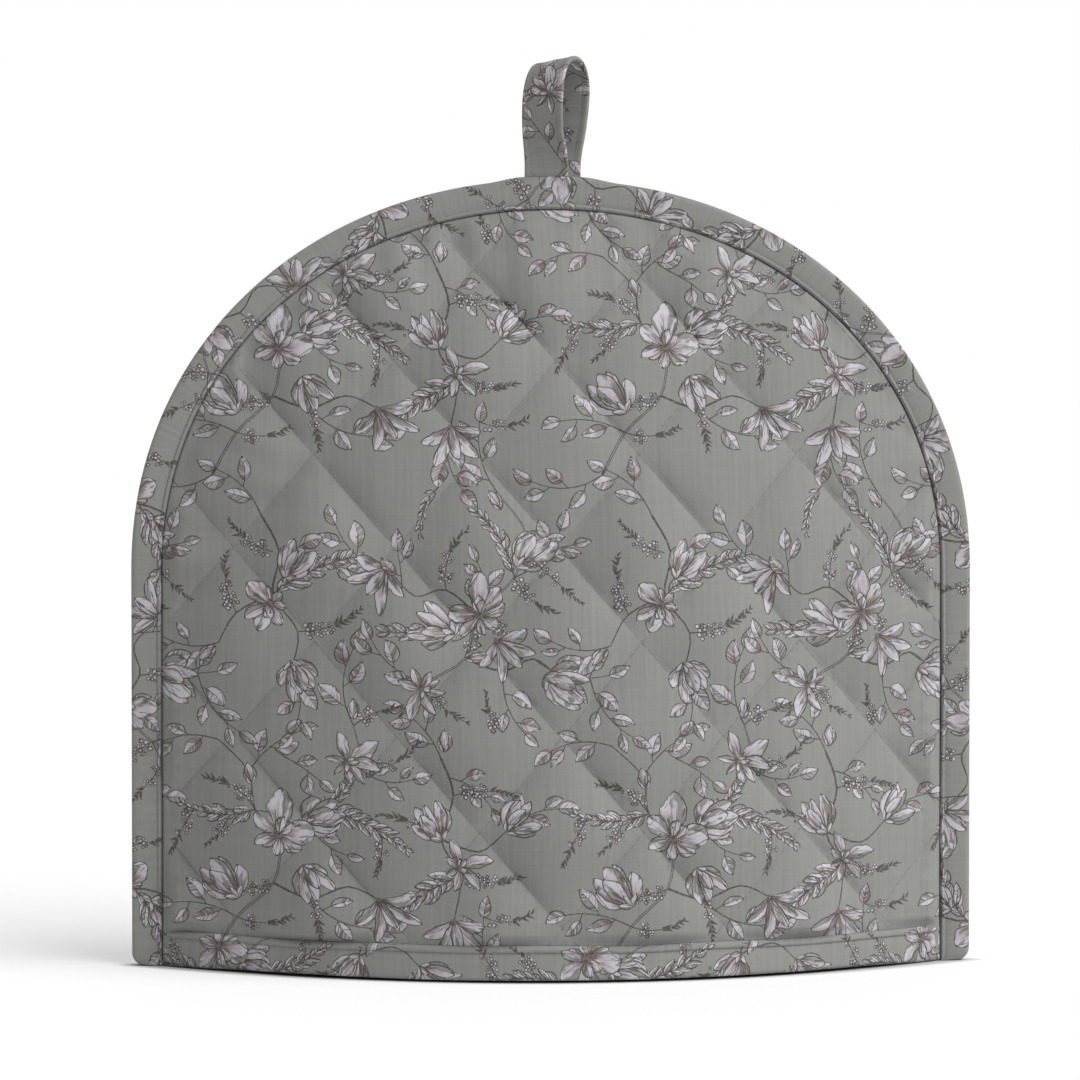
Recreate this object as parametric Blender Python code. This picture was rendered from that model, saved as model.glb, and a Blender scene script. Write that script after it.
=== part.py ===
"""A quilted tea cosy in printed cotton, standing on its hem.

Two quilted panels meet in a flat seam round the arch. One strip of cloth binds that seam,
another binds the open hem of each panel, and a narrow strap makes the hanging loop.

Metres, +Z up. The origin lies on the table under the middle of the cosy. The front panel
faces -Y, and the cosy is open a little at the hem, as a pointed oval.
"""
import math

import bmesh
import bpy
from mathutils import Vector
from mathutils.geometry import delaunay_2d_cdt

# Finished outline, seen from the front
WIDTH = 0.280               # across the straight sides
BODY_HEIGHT = 0.262         # table to the crest of the arch
SHOULDER = 0.131            # height where the straight sides turn into the arch
ARCH_POWER = 2.08           # 2 is an ellipse, a little more is fuller in the shoulders
CREST_PULL = 0.0011         # the hanging loop draws the arch's fold up this far
PULL_FLAT = 0.010           # to either side of the middle
PULL_REACH = 0.012          # and then down again over this length
CORNER = 0.004              # rounding of the two bottom corners
STAND_OUT = 0.054           # how far each panel's hem stands out from the seam

# Cloth
GAP = 0.0003                # room between pieces that touch
PANEL = 0.002               # a panel pressed flat, at its edges and on its quilting lines
CLOTH = 0.001               # a folded binding strip
PANEL_FOOT = 0.0015         # height of a panel's raw edge inside its binding

# Bindings
BINDING = 0.010             # width of the arch binding's face
HEM = 0.012                 # height of the hem binding's face
LIP = 0.002                 # width of the stitched lip along a binding's edge
LIP_RISE = 0.0005           # how far that lip stands proud
EDGE_ROUND = 0.0018         # rounding of the arch binding's outer fold
HEM_ROUND = 0.0006          # rounding of the hem binding's lower fold

# Quilting: two mirrored families of straight lines that make upright diamonds
QUILT_PITCH = 0.040         # between neighbouring lines
QUILT_ANGLE = math.radians(49)   # from level
QUILT_START = 0.0175        # height of the lowest crossing on the centre line
PUFF_OUT = 0.0028           # rise of a diamond's middle on the outside
PUFF_IN = 0.0012            # the same on the inside
PUFF_POWER = 0.6            # under 1 makes full diamonds with narrow valleys
PUFF_FADE = 0.008           # the wadding is pressed flat near the bound edges
ROWS = 4                    # mesh rows between neighbouring lines

# Hanging loop
STRAP_WIDTH = 0.0145
STRAP = 0.0015              # thickness of the strap
LOOP_HEIGHT = 0.040         # crest of the arch to the top of the loop
LOOP_SPREAD = 0.008         # half the depth of the loop at its widest
LOOP_TURN = math.radians(-26)    # the loop is twisted about the vertical
LOOP_LEAN = 0.0015          # its middle leans to the right
LOOP_SKEW = 0.0045          # the back leg stands this far to the right of the front leg
LOOP_ROLL = math.radians(9)      # at the top the strap's right edge stands higher
LOOP_FULL = 0.75            # under 1 gives the strap a fuller top
LOOP_START = math.radians(33)    # the part of the teardrop's tip that is left off
TEARDROP_WIDEST = 0.702     # largest value of sin(t) * sin(t / 2) ** 1.5
LOOP_STEPS = 24

# Colours: the cloth's sage ground, with its pale print averaged in
SAGE = (0.270, 0.272, 0.250)
SAGE_STRIP = (0.255, 0.262, 0.235)
SAGE_STRAP = (0.235, 0.242, 0.220)

# Mesh steps
CORNER_STEPS = (0.0, math.radians(30), math.acos(1 - PANEL_FOOT / CORNER), math.radians(90))
SIDE_STEPS = 3
ARCH_STEPS = 16
HEM_STEPS = 24
HEM_OPEN = 0.004            # where the panels part less, a hem binding's inner turn is cut low

# Worked out from the sizes above
HALF = WIDTH / 2
SEAM_MID = GAP / 2 + PANEL / 2          # middle of a panel's thickness in the seam
CHANNEL = GAP / 2 + PANEL + GAP         # inner half width of the arch binding
FACE = CHANNEL + CLOTH                  # its outer half width
FLOOR = PANEL_FOOT - GAP                # top of the cloth under the panels' raw edges
ARCH_HEIGHT = BODY_HEIGHT - CREST_PULL
BULGE_INSET = BINDING + 2 * GAP         # the panels start to part just inside the binding
CREST = ARCH_HEIGHT - BULGE_INSET


def smooth(value):
    """0 below 0, 1 above 1, with level ends between."""
    value = min(max(value, 0.0), 1.0)
    return value * value * (3 - 2 * value)


def half_width(z, inset):
    """Half the width at height z of the outline drawn `inset` inside the finished edge."""
    rise = (z - SHOULDER) / (ARCH_HEIGHT - inset - SHOULDER)
    if rise <= 0:
        return HALF - inset
    return (HALF - inset) * max(0.0, 1 - rise ** ARCH_POWER) ** (1 / ARCH_POWER)


def bulge(x, z):
    """How far a panel stands out from the seam: every level section is a parabola."""
    reach = half_width(z, BULGE_INSET)
    if z >= CREST or abs(x) >= reach:
        return 0.0
    return STAND_OUT * (1 - (z / CREST) ** 2) * (1 - (x / reach) ** 2)


def slope(x, z):
    """Turns a thickness square to a panel into one along Y."""
    if bulge(x, z) == 0:
        return 1.0
    step = 0.0005
    across = (bulge(x + step, z) - bulge(x - step, z)) / (2 * step)
    up = (bulge(x, z + step) - bulge(x, z - step)) / (2 * step)
    return math.sqrt(1 + across ** 2 + up ** 2)


def quilt_row(x, z, side):
    """Place across one family of quilting lines: whole numbers lie on a line."""
    across = side * x * math.sin(QUILT_ANGLE) + (z - QUILT_START) * math.cos(QUILT_ANGLE)
    return across / QUILT_PITCH


def puff(x, z):
    """0 on the quilting lines and bound edges, 1 in the middle of a diamond."""
    falling = abs(math.sin(math.pi * quilt_row(x, z, 1)))
    rising = abs(math.sin(math.pi * quilt_row(x, z, -1)))
    free = smooth(bulge(x, z) / PUFF_FADE) * smooth((z - HEM) / PUFF_FADE)
    return (falling * rising) ** PUFF_POWER * free


def panel_faces(x, z):
    """Distance of a panel's outside and inside from the seam plane."""
    middle = SEAM_MID + bulge(x, z)
    outside = middle + (PANEL / 2 + PUFF_OUT * puff(x, z)) * slope(x, z)
    inside = middle - (PANEL / 2 + PUFF_IN * puff(x, z)) * slope(x, z)
    return outside, max(inside, GAP / 2)


def bound_edge():
    """Matching points (x, z) on the arch binding's inner and outer edge.

    They run from the table on the right, over the crest, to the table on the left.
    """
    right = []
    for turn in CORNER_STEPS:
        z = CORNER * (1 - math.cos(turn))
        right.append(((HALF - BINDING, z), (HALF - CORNER * (1 - math.sin(turn)), z)))
    for step in range(1, SIDE_STEPS + 1):
        z = CORNER + (SHOULDER - CORNER) * step / SIDE_STEPS
        right.append(((HALF - BINDING, z), (HALF, z)))
    for step in range(1, ARCH_STEPS + 1):
        turn = math.pi / 2 * step / ARCH_STEPS
        across = max(math.cos(turn), 0.0) ** (2 / ARCH_POWER)
        up = math.sin(turn) ** (2 / ARCH_POWER)
        inner, outer = [((HALF - inset) * across, SHOULDER + (ARCH_HEIGHT - inset - SHOULDER) * up)
                        for inset in (BINDING, 0.0)]
        pull = CREST_PULL * (1 - smooth((outer[0] - PULL_FLAT) / PULL_REACH))
        right.append((inner, (outer[0], outer[1] + pull)))
    left = [((-inner[0], inner[1]), (-outer[0], outer[1])) for inner, outer in right[-2::-1]]
    return right + left


def across_edge(pair, distance):
    """The point `distance` out from a binding's inner edge, measured on its face."""
    inner, outer = Vector(pair[0]), Vector(pair[1])
    return inner + (outer - inner) * (distance / BINDING)


def hem_stations():
    """X of each cross-section of a hem binding, closer together at the corners."""
    end = HALF - BINDING - GAP
    middle = end - 0.008
    rows = [-end, -end + 0.003]
    rows += [-middle + 2 * middle * step / HEM_STEPS for step in range(HEM_STEPS + 1)]
    return rows + [end - 0.003, end]


def panel_net():
    """A panel laid flat: points (x, z) and triangles, with an edge on each quilting line."""
    pairs = [pair for pair in bound_edge() if pair[0][1] > FLOOR]
    outline = [across_edge(pair, BINDING - CLOTH - GAP) for pair in pairs]
    outline += [Vector((x, PANEL_FOOT)) for x in hem_stations()]
    points = list(outline)
    edges = []

    def add_line(line):
        start = len(points)
        points.extend(line)
        edges.extend((start + i, start + i + 1) for i in range(len(line) - 1))

    add_line([across_edge(pair, BINDING - BULGE_INSET) for pair in pairs])
    add_line([Vector((x, HEM)) for x in hem_stations()])

    level = QUILT_PITCH / (2 * math.sin(QUILT_ANGLE))
    upright = QUILT_PITCH / (2 * math.cos(QUILT_ANGLE))
    most = math.ceil(BODY_HEIGHT / QUILT_PITCH) + 2
    for row in range(-most, most + 1):
        for side in (1, -1):
            foot = Vector((side * 2 * level * row, QUILT_START))
            run = Vector((-side * level, upright)) * 2 * most
            add_line([foot - run, foot + run])
    for first in range(-most * ROWS, most * ROWS + 1):
        for second in range(-most * ROWS, most * ROWS + 1):
            x = (first - second) / ROWS * level
            z = QUILT_START + (first + second) / ROWS * upright
            if z > HEM + PUFF_FADE / 2 and bulge(x, z) > PUFF_FADE / 4:
                points.append(Vector((x, z)))

    face = list(range(len(outline)))
    found = delaunay_2d_cdt(points, edges, [face], 0, 1e-5)
    triangles = [tri for tri, source in zip(found[2], found[5]) if source]
    used = sorted({index for tri in triangles for index in tri})
    order = {index: place for place, index in enumerate(used)}
    return [found[0][index] for index in used], [[order[i] for i in tri] for tri in triangles]


def solid(name, points, faces, color, roughness=0.88):
    """One closed object with its own cloth."""
    mesh = bpy.data.meshes.new(name)
    shape = bmesh.new()
    verts = [shape.verts.new(point) for point in points]
    for face in faces:
        shape.faces.new([verts[index] for index in face])
    bmesh.ops.recalc_face_normals(shape, faces=shape.faces)
    bmesh.ops.triangulate(shape, faces=shape.faces)
    shape.to_mesh(mesh)
    shape.free()
    mesh.shade_smooth()
    mesh.set_sharp_from_angle(angle=math.radians(40))
    cloth = bpy.data.materials.new(name)
    cloth.use_nodes = True
    shader = cloth.node_tree.nodes["Principled BSDF"]
    shader.inputs["Base Color"].default_value = (*color, 1)
    shader.inputs["Roughness"].default_value = roughness
    shader.inputs["Metallic"].default_value = 0.0
    mesh.materials.append(cloth)
    bpy.context.scene.collection.objects.link(bpy.data.objects.new(name, mesh))


def swept(sections, flat_ends=True):
    """Points and faces of a closed section carried along a path."""
    count = len(sections[0])
    points = [point for section in sections for point in section]
    faces = []
    for row in range(len(sections) - 1):
        for i in range(count):
            j = (i + 1) % count
            low, high = row * count, (row + 1) * count
            faces.append((low + i, low + j, high + j, high + i))
    if flat_ends:
        faces.append(tuple(range(count)))
        faces.append(tuple(range(len(points) - count, len(points))))
    return points, faces


def make_panel(name, facing, color):
    """A quilted panel: facing is -1 for the one towards -Y, and 1 for the other."""
    net, triangles = panel_net()
    walls = [panel_faces(x, z) for x, z in net]
    points = [(x, facing * outside, z) for (x, z), (outside, _) in zip(net, walls)]
    points += [(x, facing * inside, z) for (x, z), (_, inside) in zip(net, walls)]
    count = len(net)
    faces = [tuple(tri) for tri in triangles]
    faces += [tuple(count + index for index in reversed(tri)) for tri in triangles]
    directed = {(tri[i], tri[(i + 1) % 3]) for tri in triangles for i in range(3)}
    for a, b in sorted(directed):
        if (b, a) not in directed:
            faces.append((b, a, count + a, count + b))
    solid(name, points, faces, color)


def make_arch_binding(color):
    """The strip folded over both panels' edges, closed at its two lower ends."""
    bevel = LIP_RISE / 2
    half = [
        (0.0, FACE),
        (bevel, FACE + LIP_RISE),
        (LIP - bevel, FACE + LIP_RISE),
        (LIP, FACE),
        (BINDING - EDGE_ROUND, FACE),
        (BINDING - EDGE_ROUND * 0.3, FACE - EDGE_ROUND * 0.3),
        (BINDING, FACE - EDGE_ROUND),
    ]
    outer = [(out, -y) for out, y in half] + [(out, y) for out, y in reversed(half)]
    fold = BINDING - CLOTH
    inner = [(0.0, CHANNEL), (fold, CHANNEL), (fold, -CHANNEL), (0.0, -CHANNEL)]
    pairs = bound_edge()
    last = len(pairs) - 1
    foot_row = 2
    sections = []
    for row, pair in enumerate(pairs):
        rung = min(row, last - row)
        lined = pairs[min(max(row, foot_row), last - foot_row)]
        section = []
        for out, y in outer:
            x, z = across_edge(pair, out)
            section.append((x, y, z))
        for out, y in inner:
            x, z = across_edge(lined, out)
            if rung < foot_row:
                z = FLOOR + GAP * rung / foot_row
            section.append((x, y, z))
        sections.append(section)
    points, faces = swept(sections, flat_ends=False)
    wide = len(outer)
    for base in (0, last * len(sections[0])):
        faces.append(tuple(base + i for i in range(wide)))
        faces.append(tuple(base + wide + i for i in range(len(inner))))
        faces.append((base, base + wide - 1, base + wide, base + wide + len(inner) - 1))
    solid("binding_arch", points, faces, color)


def make_hem_binding(name, facing, color):
    """The strip folded under a panel's hem, with its flat fold on the table."""
    bevel = LIP_RISE / 2
    near = PANEL / 2 + GAP
    far = near + CLOTH
    sections = []
    for x in hem_stations():
        inner_top = HEM if bulge(x, 0.0) > HEM_OPEN else FLOOR
        profile = [
            (far - HEM_ROUND, 0.0),
            (far, HEM_ROUND),
            (far, HEM - LIP),
            (far + LIP_RISE, HEM - LIP + bevel),
            (far + LIP_RISE, HEM - bevel),
            (far, HEM),
            (near, HEM),
            (near, CLOTH),
            (-near, CLOTH),
            (-near, inner_top),
            (-far, inner_top),
            (-far, HEM_ROUND),
            (-far + HEM_ROUND, 0.0),
        ]
        section = []
        for place, (offset, z) in enumerate(profile):
            y = SEAM_MID + bulge(x, z) + offset * slope(x, z)
            tucked = GAP if offset == -near else GAP / 2
            section.append((x, facing * max(y, tucked), z))
        sections.append(section)
    points, faces = swept(sections)
    solid(name, points, faces, color)


def make_loop(color):
    """A folded strap that rises from the seam, turns over and comes down behind itself."""
    edge = STRAP / 4
    half_wide, half_thick = STRAP_WIDTH / 2, STRAP / 2
    outline = []
    for across, through in ((1, 1), (-1, 1), (-1, -1), (1, -1)):
        corner = [
            (across * half_wide, through * (half_thick - edge)),
            (across * (half_wide - edge), through * half_thick),
        ]
        outline += corner if across * through > 0 else corner[::-1]

    def middle(turn):
        """A teardrop: its legs meet at turn 0 and its top is at turn pi."""
        height = ((1 - math.cos(turn)) / 2) ** LOOP_FULL
        depth = -LOOP_SPREAD * math.sin(turn) * math.sin(turn / 2) ** 1.5 / TEARDROP_WIDEST
        low = ((1 - math.cos(LOOP_START)) / 2) ** LOOP_FULL
        rise = (height - low) / (1 - low)
        yaw = LOOP_TURN * smooth(rise / 0.4)
        roll = LOOP_ROLL * smooth((rise - 0.6) / 0.4)
        x = LOOP_LEAN * smooth(rise) - LOOP_SKEW / 2 * math.cos(turn / 2)
        top = (LOOP_HEIGHT - GAP - half_thick - half_wide * math.sin(LOOP_ROLL)) * rise
        place = Vector((x - depth * math.sin(yaw), depth * math.cos(yaw), top))
        return place + Vector((0, 0, BODY_HEIGHT + GAP)), yaw, roll

    sections = []
    for step in range(LOOP_STEPS + 1):
        turn = LOOP_START + (2 * math.pi - 2 * LOOP_START) * step / LOOP_STEPS
        place, yaw, roll = middle(turn)
        across = Vector((math.cos(yaw), math.sin(yaw), 0))
        along = middle(turn + 0.01)[0] - middle(turn - 0.01)[0]
        if step in (0, LOOP_STEPS):
            along = Vector((0, 0, 1 if step == 0 else -1))
        through = across.cross(along).normalized()
        wide = across * math.cos(roll) + through * math.sin(roll)
        thick = through * math.cos(roll) - across * math.sin(roll)
        sections.append([place + wide * a + thick * b for a, b in outline])
    points, faces = swept(sections)
    solid("loop", points, faces, color)


for thing in list(bpy.data.objects):
    bpy.data.objects.remove(thing, do_unlink=True)

make_panel("panel_front", -1, SAGE)
make_panel("panel_back", 1, SAGE)
make_arch_binding(SAGE_STRIP)
make_hem_binding("hem_binding_front", -1, SAGE_STRIP)
make_hem_binding("hem_binding_back", 1, SAGE_STRIP)
make_loop(SAGE_STRAP)
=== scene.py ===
"""The looks of a quilted tea cosy in flower-printed cotton, standing on its hem.

Metres and +Z up, as in the frame. The front panel faces -Y. The printed cloth is drawn flat, with
complex numbers in millimetres for its points: x to the right and z up. A panel keeps that x and z,
and a strip (a binding or the strap) is laid along its own length.
"""

import cmath
import functools
import math
import random
from collections import namedtuple

import bpy
import numpy as np
from bpy.props import FloatProperty, FloatVectorProperty, IntProperty, PointerProperty
from bpy.types import Operator, Panel, PropertyGroup
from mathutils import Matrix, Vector
from mathutils.geometry import delaunay_2d_cdt


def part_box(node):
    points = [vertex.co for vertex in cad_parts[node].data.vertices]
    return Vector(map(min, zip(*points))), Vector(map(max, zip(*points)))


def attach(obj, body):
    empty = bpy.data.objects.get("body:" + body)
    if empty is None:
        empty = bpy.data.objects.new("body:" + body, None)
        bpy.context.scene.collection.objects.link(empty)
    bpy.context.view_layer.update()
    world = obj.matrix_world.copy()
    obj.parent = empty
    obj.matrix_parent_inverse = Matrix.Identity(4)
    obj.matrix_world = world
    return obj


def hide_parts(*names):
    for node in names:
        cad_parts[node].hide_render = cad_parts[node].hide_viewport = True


bl_info = {
    "name": "Quilted tea cosy",
    "version": (1, 0, 0),
    "blender": (4, 5, 0),
    "location": "3D View > Sidebar > Tea cosy",
    "description": "Builds a quilted, bound and flower-printed tea cosy around its solid model",
    "category": "Add Mesh",
}

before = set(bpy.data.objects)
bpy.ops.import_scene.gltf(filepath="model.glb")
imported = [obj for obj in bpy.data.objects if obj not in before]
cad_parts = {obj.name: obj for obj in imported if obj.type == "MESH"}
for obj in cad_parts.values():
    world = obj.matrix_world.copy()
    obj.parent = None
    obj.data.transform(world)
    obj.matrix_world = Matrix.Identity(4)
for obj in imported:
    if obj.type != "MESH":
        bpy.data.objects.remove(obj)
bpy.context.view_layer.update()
MM = 0.001

# Outline and cloth, as the solids have them
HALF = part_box("binding_arch")[1].x         # half the finished width
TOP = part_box("binding_arch")[1].z          # crest of the arch
SHOULDER = 0.131                           # height where the straight sides turn into the arch
ARCH_POWER = 2.08                          # 2 is an ellipse, a little more is fuller
CREST_PULL = 0.0011                        # the hanging loop draws the arch's fold up this far
PULL_FLAT = 0.010                          # to either side of the middle
PULL_REACH = 0.012                         # and then down again over this length
ARCH_HEIGHT = TOP - CREST_PULL
CORNER = 0.004                             # rounding of the two bottom corners
GAP = 0.0003                               # room between pieces that touch
PANEL = 0.002                              # a panel pressed flat
CLOTH = 0.001                              # a folded binding strip
PANEL_FOOT = 0.0015                        # height of a panel's raw edge inside its binding
BINDING = 0.010                            # width of the arch binding's face
HEM = 0.012                                # height of the hem binding's face
HEM_EDGE = HEM - 0.0002                    # height of its sewn edge
HEM_PLACE = 0.0055                         # height of a place between its lip and its fold
EDGE_ROUND = 0.0018                        # rounding of the arch binding's outer fold
FACE_PLACES = (0.0045, 0.0064)             # the arch binding's face is fuller from here to here
FACE_FULL = 0.0001                         # by this much
LIP_RISE = 0.0005                          # how far a binding's stitched lip stands proud
SEAM_MID = GAP / 2 + PANEL / 2             # middle of a panel's thickness in the seam
CHANNEL = GAP / 2 + PANEL + GAP            # inner half width of the arch binding
FACE = CHANNEL + CLOTH                     # its outer half width
HEM_NEAR = PANEL / 2 + GAP                 # a hem binding's skins, from the panel's middle
HEM_FAR = HEM_NEAR + CLOTH
STAND_OUT = -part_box("hem_binding_front")[0].y - SEAM_MID - HEM_FAR - LIP_RISE
BULGE_INSET = BINDING + 2 * GAP            # the panels start to part just inside the binding
CREST = ARCH_HEIGHT - BULGE_INSET          # height where the two panels meet
PARTED = 0.003                             # the inside shows where a panel stands out this far
PARTING = 0.002                            # and a hem binding's inside is full this much further out

# Hanging loop
STRAP = 0.0015                             # thickness of the folded strap
STRAP_WIDTH = 0.0145
STRAP_ROUND = STRAP * 0.42
STRAP_GROOVE = (0.0016, 0.0021, 0.0028)    # start, bottom and end of a stitched groove, from an edge
STRAP_DIP = 0.0001                         # how much lower its face is at a groove's end
LOOP_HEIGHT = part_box("loop")[1].z - TOP
LOOP_SPREAD = 0.008                        # half its greatest depth, at the strap's middle
LOOP_TURN = math.radians(-26)              # of the strap about the upright
LOOP_TURNED = 0.4                          # part of its height where it has turned fully
LOOP_ROLL = math.radians(9)                # sideways tip of its top
LOOP_ROLLING = 0.6                         # part of its height where the tip starts
LOOP_LEAN = 0.0015                         # its top stands this far to the right
LOOP_SKEW = 0.0045                         # between its two legs along the seam
LOOP_START = math.radians(33)              # turn along the teardrop where a leg leaves the binding
TEARDROP_WIDEST = 0.702                    # the same half depth of the plain formula
LOOP_FULL = 0.75                           # under 1 gives the strap a fuller top

# Mesh steps
SLOPE_STEP = 0.0005                        # over which a panel's slope is measured
NORMAL_STEP = 0.00012                      # and its normals
RIPPLES = 6                                # waves added up in uneven cloth
STEP = 0.003                               # along an outline
STRIP_STEP = 0.0024                        # along a binding
LOOP_STEPS = 64                            # round the hanging loop
LIP_POINTS = 7                             # across a stitched lip
LINE_STEP = 0.03                           # along a quilting line, in line pitches
SNAP = 0.002                               # millimetres: closer points in the flat are one point
LATTICE = (0, 0.025, 0.06, 0.12, 0.2, 0.3, 0.4, 0.5, 0.6, 0.7, 0.8, 0.88, 0.94, 0.975)
LATTICE_INSIDE = (0, 0.06, 0.2, 0.35, 0.5, 0.65, 0.8, 0.94)
BESIDE_BINDING = (0.0, 0.0003, 0.0006, 0.0012, 0.002, 0.004)   # lines of the net beside a binding
NET_UNDER = 0.008                          # a panel's net goes on this far under the arch binding
NET_BELOW = 0.01                           # and its quilting lines this far below the table

# Sewn edges
SEATED = GAP - 0.00002                     # a binding's sewn edge sinks this far, onto the panel
LIP_DROP = 0.0006                          # how far a lip's sewn edge slopes down to the panel
GROOVE_PLACES = ((0.00015, 1.0), (0.0006, 0.5), (0.0014, 0.0))   # past a lip, and the groove's depth
SEWN_FROM = 0.0006                         # quilting stitches start this far inside the bindings
QUILTING_OUT = 0.15                        # how much of its thickness a stitch's middle stands out
SEAM_OUT = 0.1                             # and in a binding's groove
LIFT_END = 0.03                            # a hem lies on the table at its ends, and lifts over this

# Places along a strip, in millimetres
JOIN_PLACE = 36                            # the slanting join, to the right of the crest
JOIN_SLANT = 6                             # how much further it has gone at one edge than at the other
JOIN_HALF = 2                              # half its width
WAVER_REACH = 60                           # length over which a sewn edge strays
LIFT_REACH = 90                            # length of a hem's waves over the table
BARE_EDGE = 0.3                            # no line of the print is cut this near to a strip's edge
TOUCH = 0.01                               # a point this near to an edge counts as on it

# The maps for baked looks: parts of the square, or of it for a metre of cloth
MAP_CORNER = 0.005                         # where faces without looks of their own lie
PANEL_MARGIN = 0.01
OUTSIDE_SCALE = 3.1
INSIDE_SCALE = 0.6
INSIDE_START = 0.835                       # height on the map where the inside starts
STRIP_MARGIN = 0.02
STRIP_PART = 0.96                          # of a row's height and length

# Where each piece is cut from the cloth: its lower left corner on the print, in millimetres
FRONT_SHIFT = complex(0, 0)
BACK_SHIFT = complex(58, 71)
ARCH_SHIFT = complex(20, 96)
HEM_SHIFT = complex(12, 30)
HEM_BACK_SHIFT = complex(70, 110)
LOOP_SHIFT = complex(30, 60)

# The studio
AIM = Vector((-0.0042, 0, 0.141))          # what the camera looks at
TABLE_REACH = 6.0
TABLE_TOP = -0.0002                        # just under the hem, which would flicker on one level
TABLE_GLOW = 0.44                          # stands in for the light that a white studio sends back
FOOT_SHADOW_REACH = 0.006                         # painted shadow at the cosy's foot: the table's emission is missing there and full this far out


# ---------------------------------------------------------------- settings

def size(name, description, default, low=0.0, high=1.0):
    return FloatProperty(name=name, description=description, default=default, min=low, max=high,
                         subtype="DISTANCE", unit="LENGTH", precision=5)


def share(name, description, default, low=0.0, high=5.0):
    return FloatProperty(name=name, description=description, default=default, min=low, max=high)


def angle(name, description, degrees):
    return FloatProperty(name=name, description=description, default=math.radians(degrees),
                         subtype="ANGLE", unit="ROTATION")


def colour(name, description, default):
    return FloatVectorProperty(name=name, description=description, default=default, size=3,
                               min=0.0, max=1.0, subtype="COLOR")


class CosyPrint(PropertyGroup):
    """The flower print and its colours."""
    sage: colour("Ground", "Dyed ground of the cloth", (0.212, 0.2155, 0.2025))
    lilac: colour("Petals", "Pale ink of petals and leaves", (0.475, 0.457, 0.492))
    blush: colour("Petal bases", "Pinkish brown where petals meet", (0.125, 0.072, 0.066))
    ink: colour("Line ink", "Brown-black of stems and outlines", (0.048, 0.039, 0.035))
    line: FloatProperty(name="Line", description="Width of an outline in the drawing, in millimetres",
                        default=0.34, min=0.1, max=1.0)
    seed: IntProperty(name="Seed", description="Changes how the petals and leaves vary", default=7)


class CosyQuilting(PropertyGroup):
    """The quilting lines and the wadding between them."""
    pitch: size("Line pitch", "Between neighbouring quilting lines", 0.040)
    angle: angle("Line angle", "Of the quilting lines, from level", 49)
    start: size("Lowest crossing", "Height of the lowest crossing on the centre line", 0.0175)
    rise: size("Outside rise", "Of a diamond's middle over its edges", 0.0038)
    rise_inside: size("Inside rise", "The same on the inside", 0.0012)
    fullness: share("Fullness", "Under 1 gives full diamonds with narrow valleys", 0.66)
    fade: size("Pressed edge", "The wadding is pressed flat this near to a binding", 0.0035)
    edge: size("Full edge", "How far the wadding stands up right beside the arch binding", 0.0013)
    uneven: share("Unevenness", "How much one diamond differs from another", 0.35)
    sag: size("Slackness", "Height of the cloth's broad waves", 0.0007)
    gather: size("Gathers", "Height of the small puckers under the arch binding", 0.0008)


class CosyWeave(PropertyGroup):
    """The plain weave."""
    thread: size("Thread pitch", "Between neighbouring threads", 0.00045)
    slub: share("Slubs", "Strength of the streaks that thick threads make", 0.10)
    relief: size("Relief", "Depth of the weave", 0.00007)
    rough: share("Roughness", "Of the cloth", 0.88, 0.0, 1.0)
    sheen: share("Sheen", "Fuzz on the cloth", 0.12, 0.0, 1.0)


class CosyBinding(PropertyGroup):
    """The folded strips along the edges."""
    arch_lip: size("Arch lip", "Width of the stitched lip on the arch binding", 0.0013)
    arch_rise: size("Arch lip's rise", "How far that lip stands proud", 0.00035)
    hem_lip: size("Hem lip", "Width of the stitched lip on a hem binding", 0.0021)
    hem_round: size("Hem fold", "Rounding of a hem binding's lower fold", 0.0014)
    lean: size("Lean", "How much nearer the seam an arch binding's face is at its fold", 0.0008)
    flare: size("Flare", "How much further out a hem's face is at its fold", 0.0007)
    lift: size("Lift", "Most that a hem clears the table between the places where it rests", 0.0007)
    groove: size("Groove", "Depth of the stitched groove beside a lip", 0.00035)
    waver: size("Waver", "How far a strip's sewn edge strays", 0.00022)
    join: size("Join", "Height of the slanting join in the arch binding", 0.00045)


class CosyStitching(PropertyGroup):
    """The machine stitches."""
    long: size("Quilting stitch", "Length of a stitch on the panels", 0.0027)
    short: size("Edge stitch", "Length of a stitch along the bindings and the strap", 0.0021)
    gap: size("Gap", "Between two stitches", 0.0007)
    thread: size("Thread", "Thickness of the thread", 0.00022)
    thread_colour: colour("Thread colour", "Dyed to match the ground", (0.205, 0.208, 0.195))


class CosyStudio(PropertyGroup):
    """Camera and light."""
    distance: size("Camera distance", "From the seam's middle", 1.5, 0.3, 10)
    height: size("Camera height", "Over the table", 0.184, 0.0, 5)
    turn: angle("Camera turn", "To the left of straight on", 3.4)
    lens: FloatProperty(name="Lens", description="In millimetres on a 36 mm square frame", default=150.0)
    ambient: share("Soft light", "From the front and the sides", 0.33)
    ambient_behind: share("Soft light behind", "From straight behind", 0.80)
    key: share("Key light", "From the right", 3.35)
    key_turn: angle("Key turn", "To the right of straight on", 56)
    key_rise: angle("Key height", "Over the table", 45)
    key_spread: angle("Key softness", "How wide the key light looks", 55)


# ---------------------------------------------------------------- shapes by formula

def smooth(value):
    """0 below 0, 1 above 1, with level ends between."""
    value = np.clip(value, 0.0, 1.0)
    return value * value * (3 - 2 * value)


def ripple(x, z, reach, seed):
    """Soft waves of about that length in all directions, between about -1 and 1."""
    dice = random.Random(seed)
    total = 0.0
    for _ in range(RIPPLES):
        turn = dice.uniform(0, math.pi)
        length = reach * dice.uniform(0.7, 1.5)
        start = dice.uniform(0, math.tau)
        total = total + np.sin(math.tau * (x * math.cos(turn) + z * math.sin(turn)) / length + start)
    return total * 1.6 / RIPPLES


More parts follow.
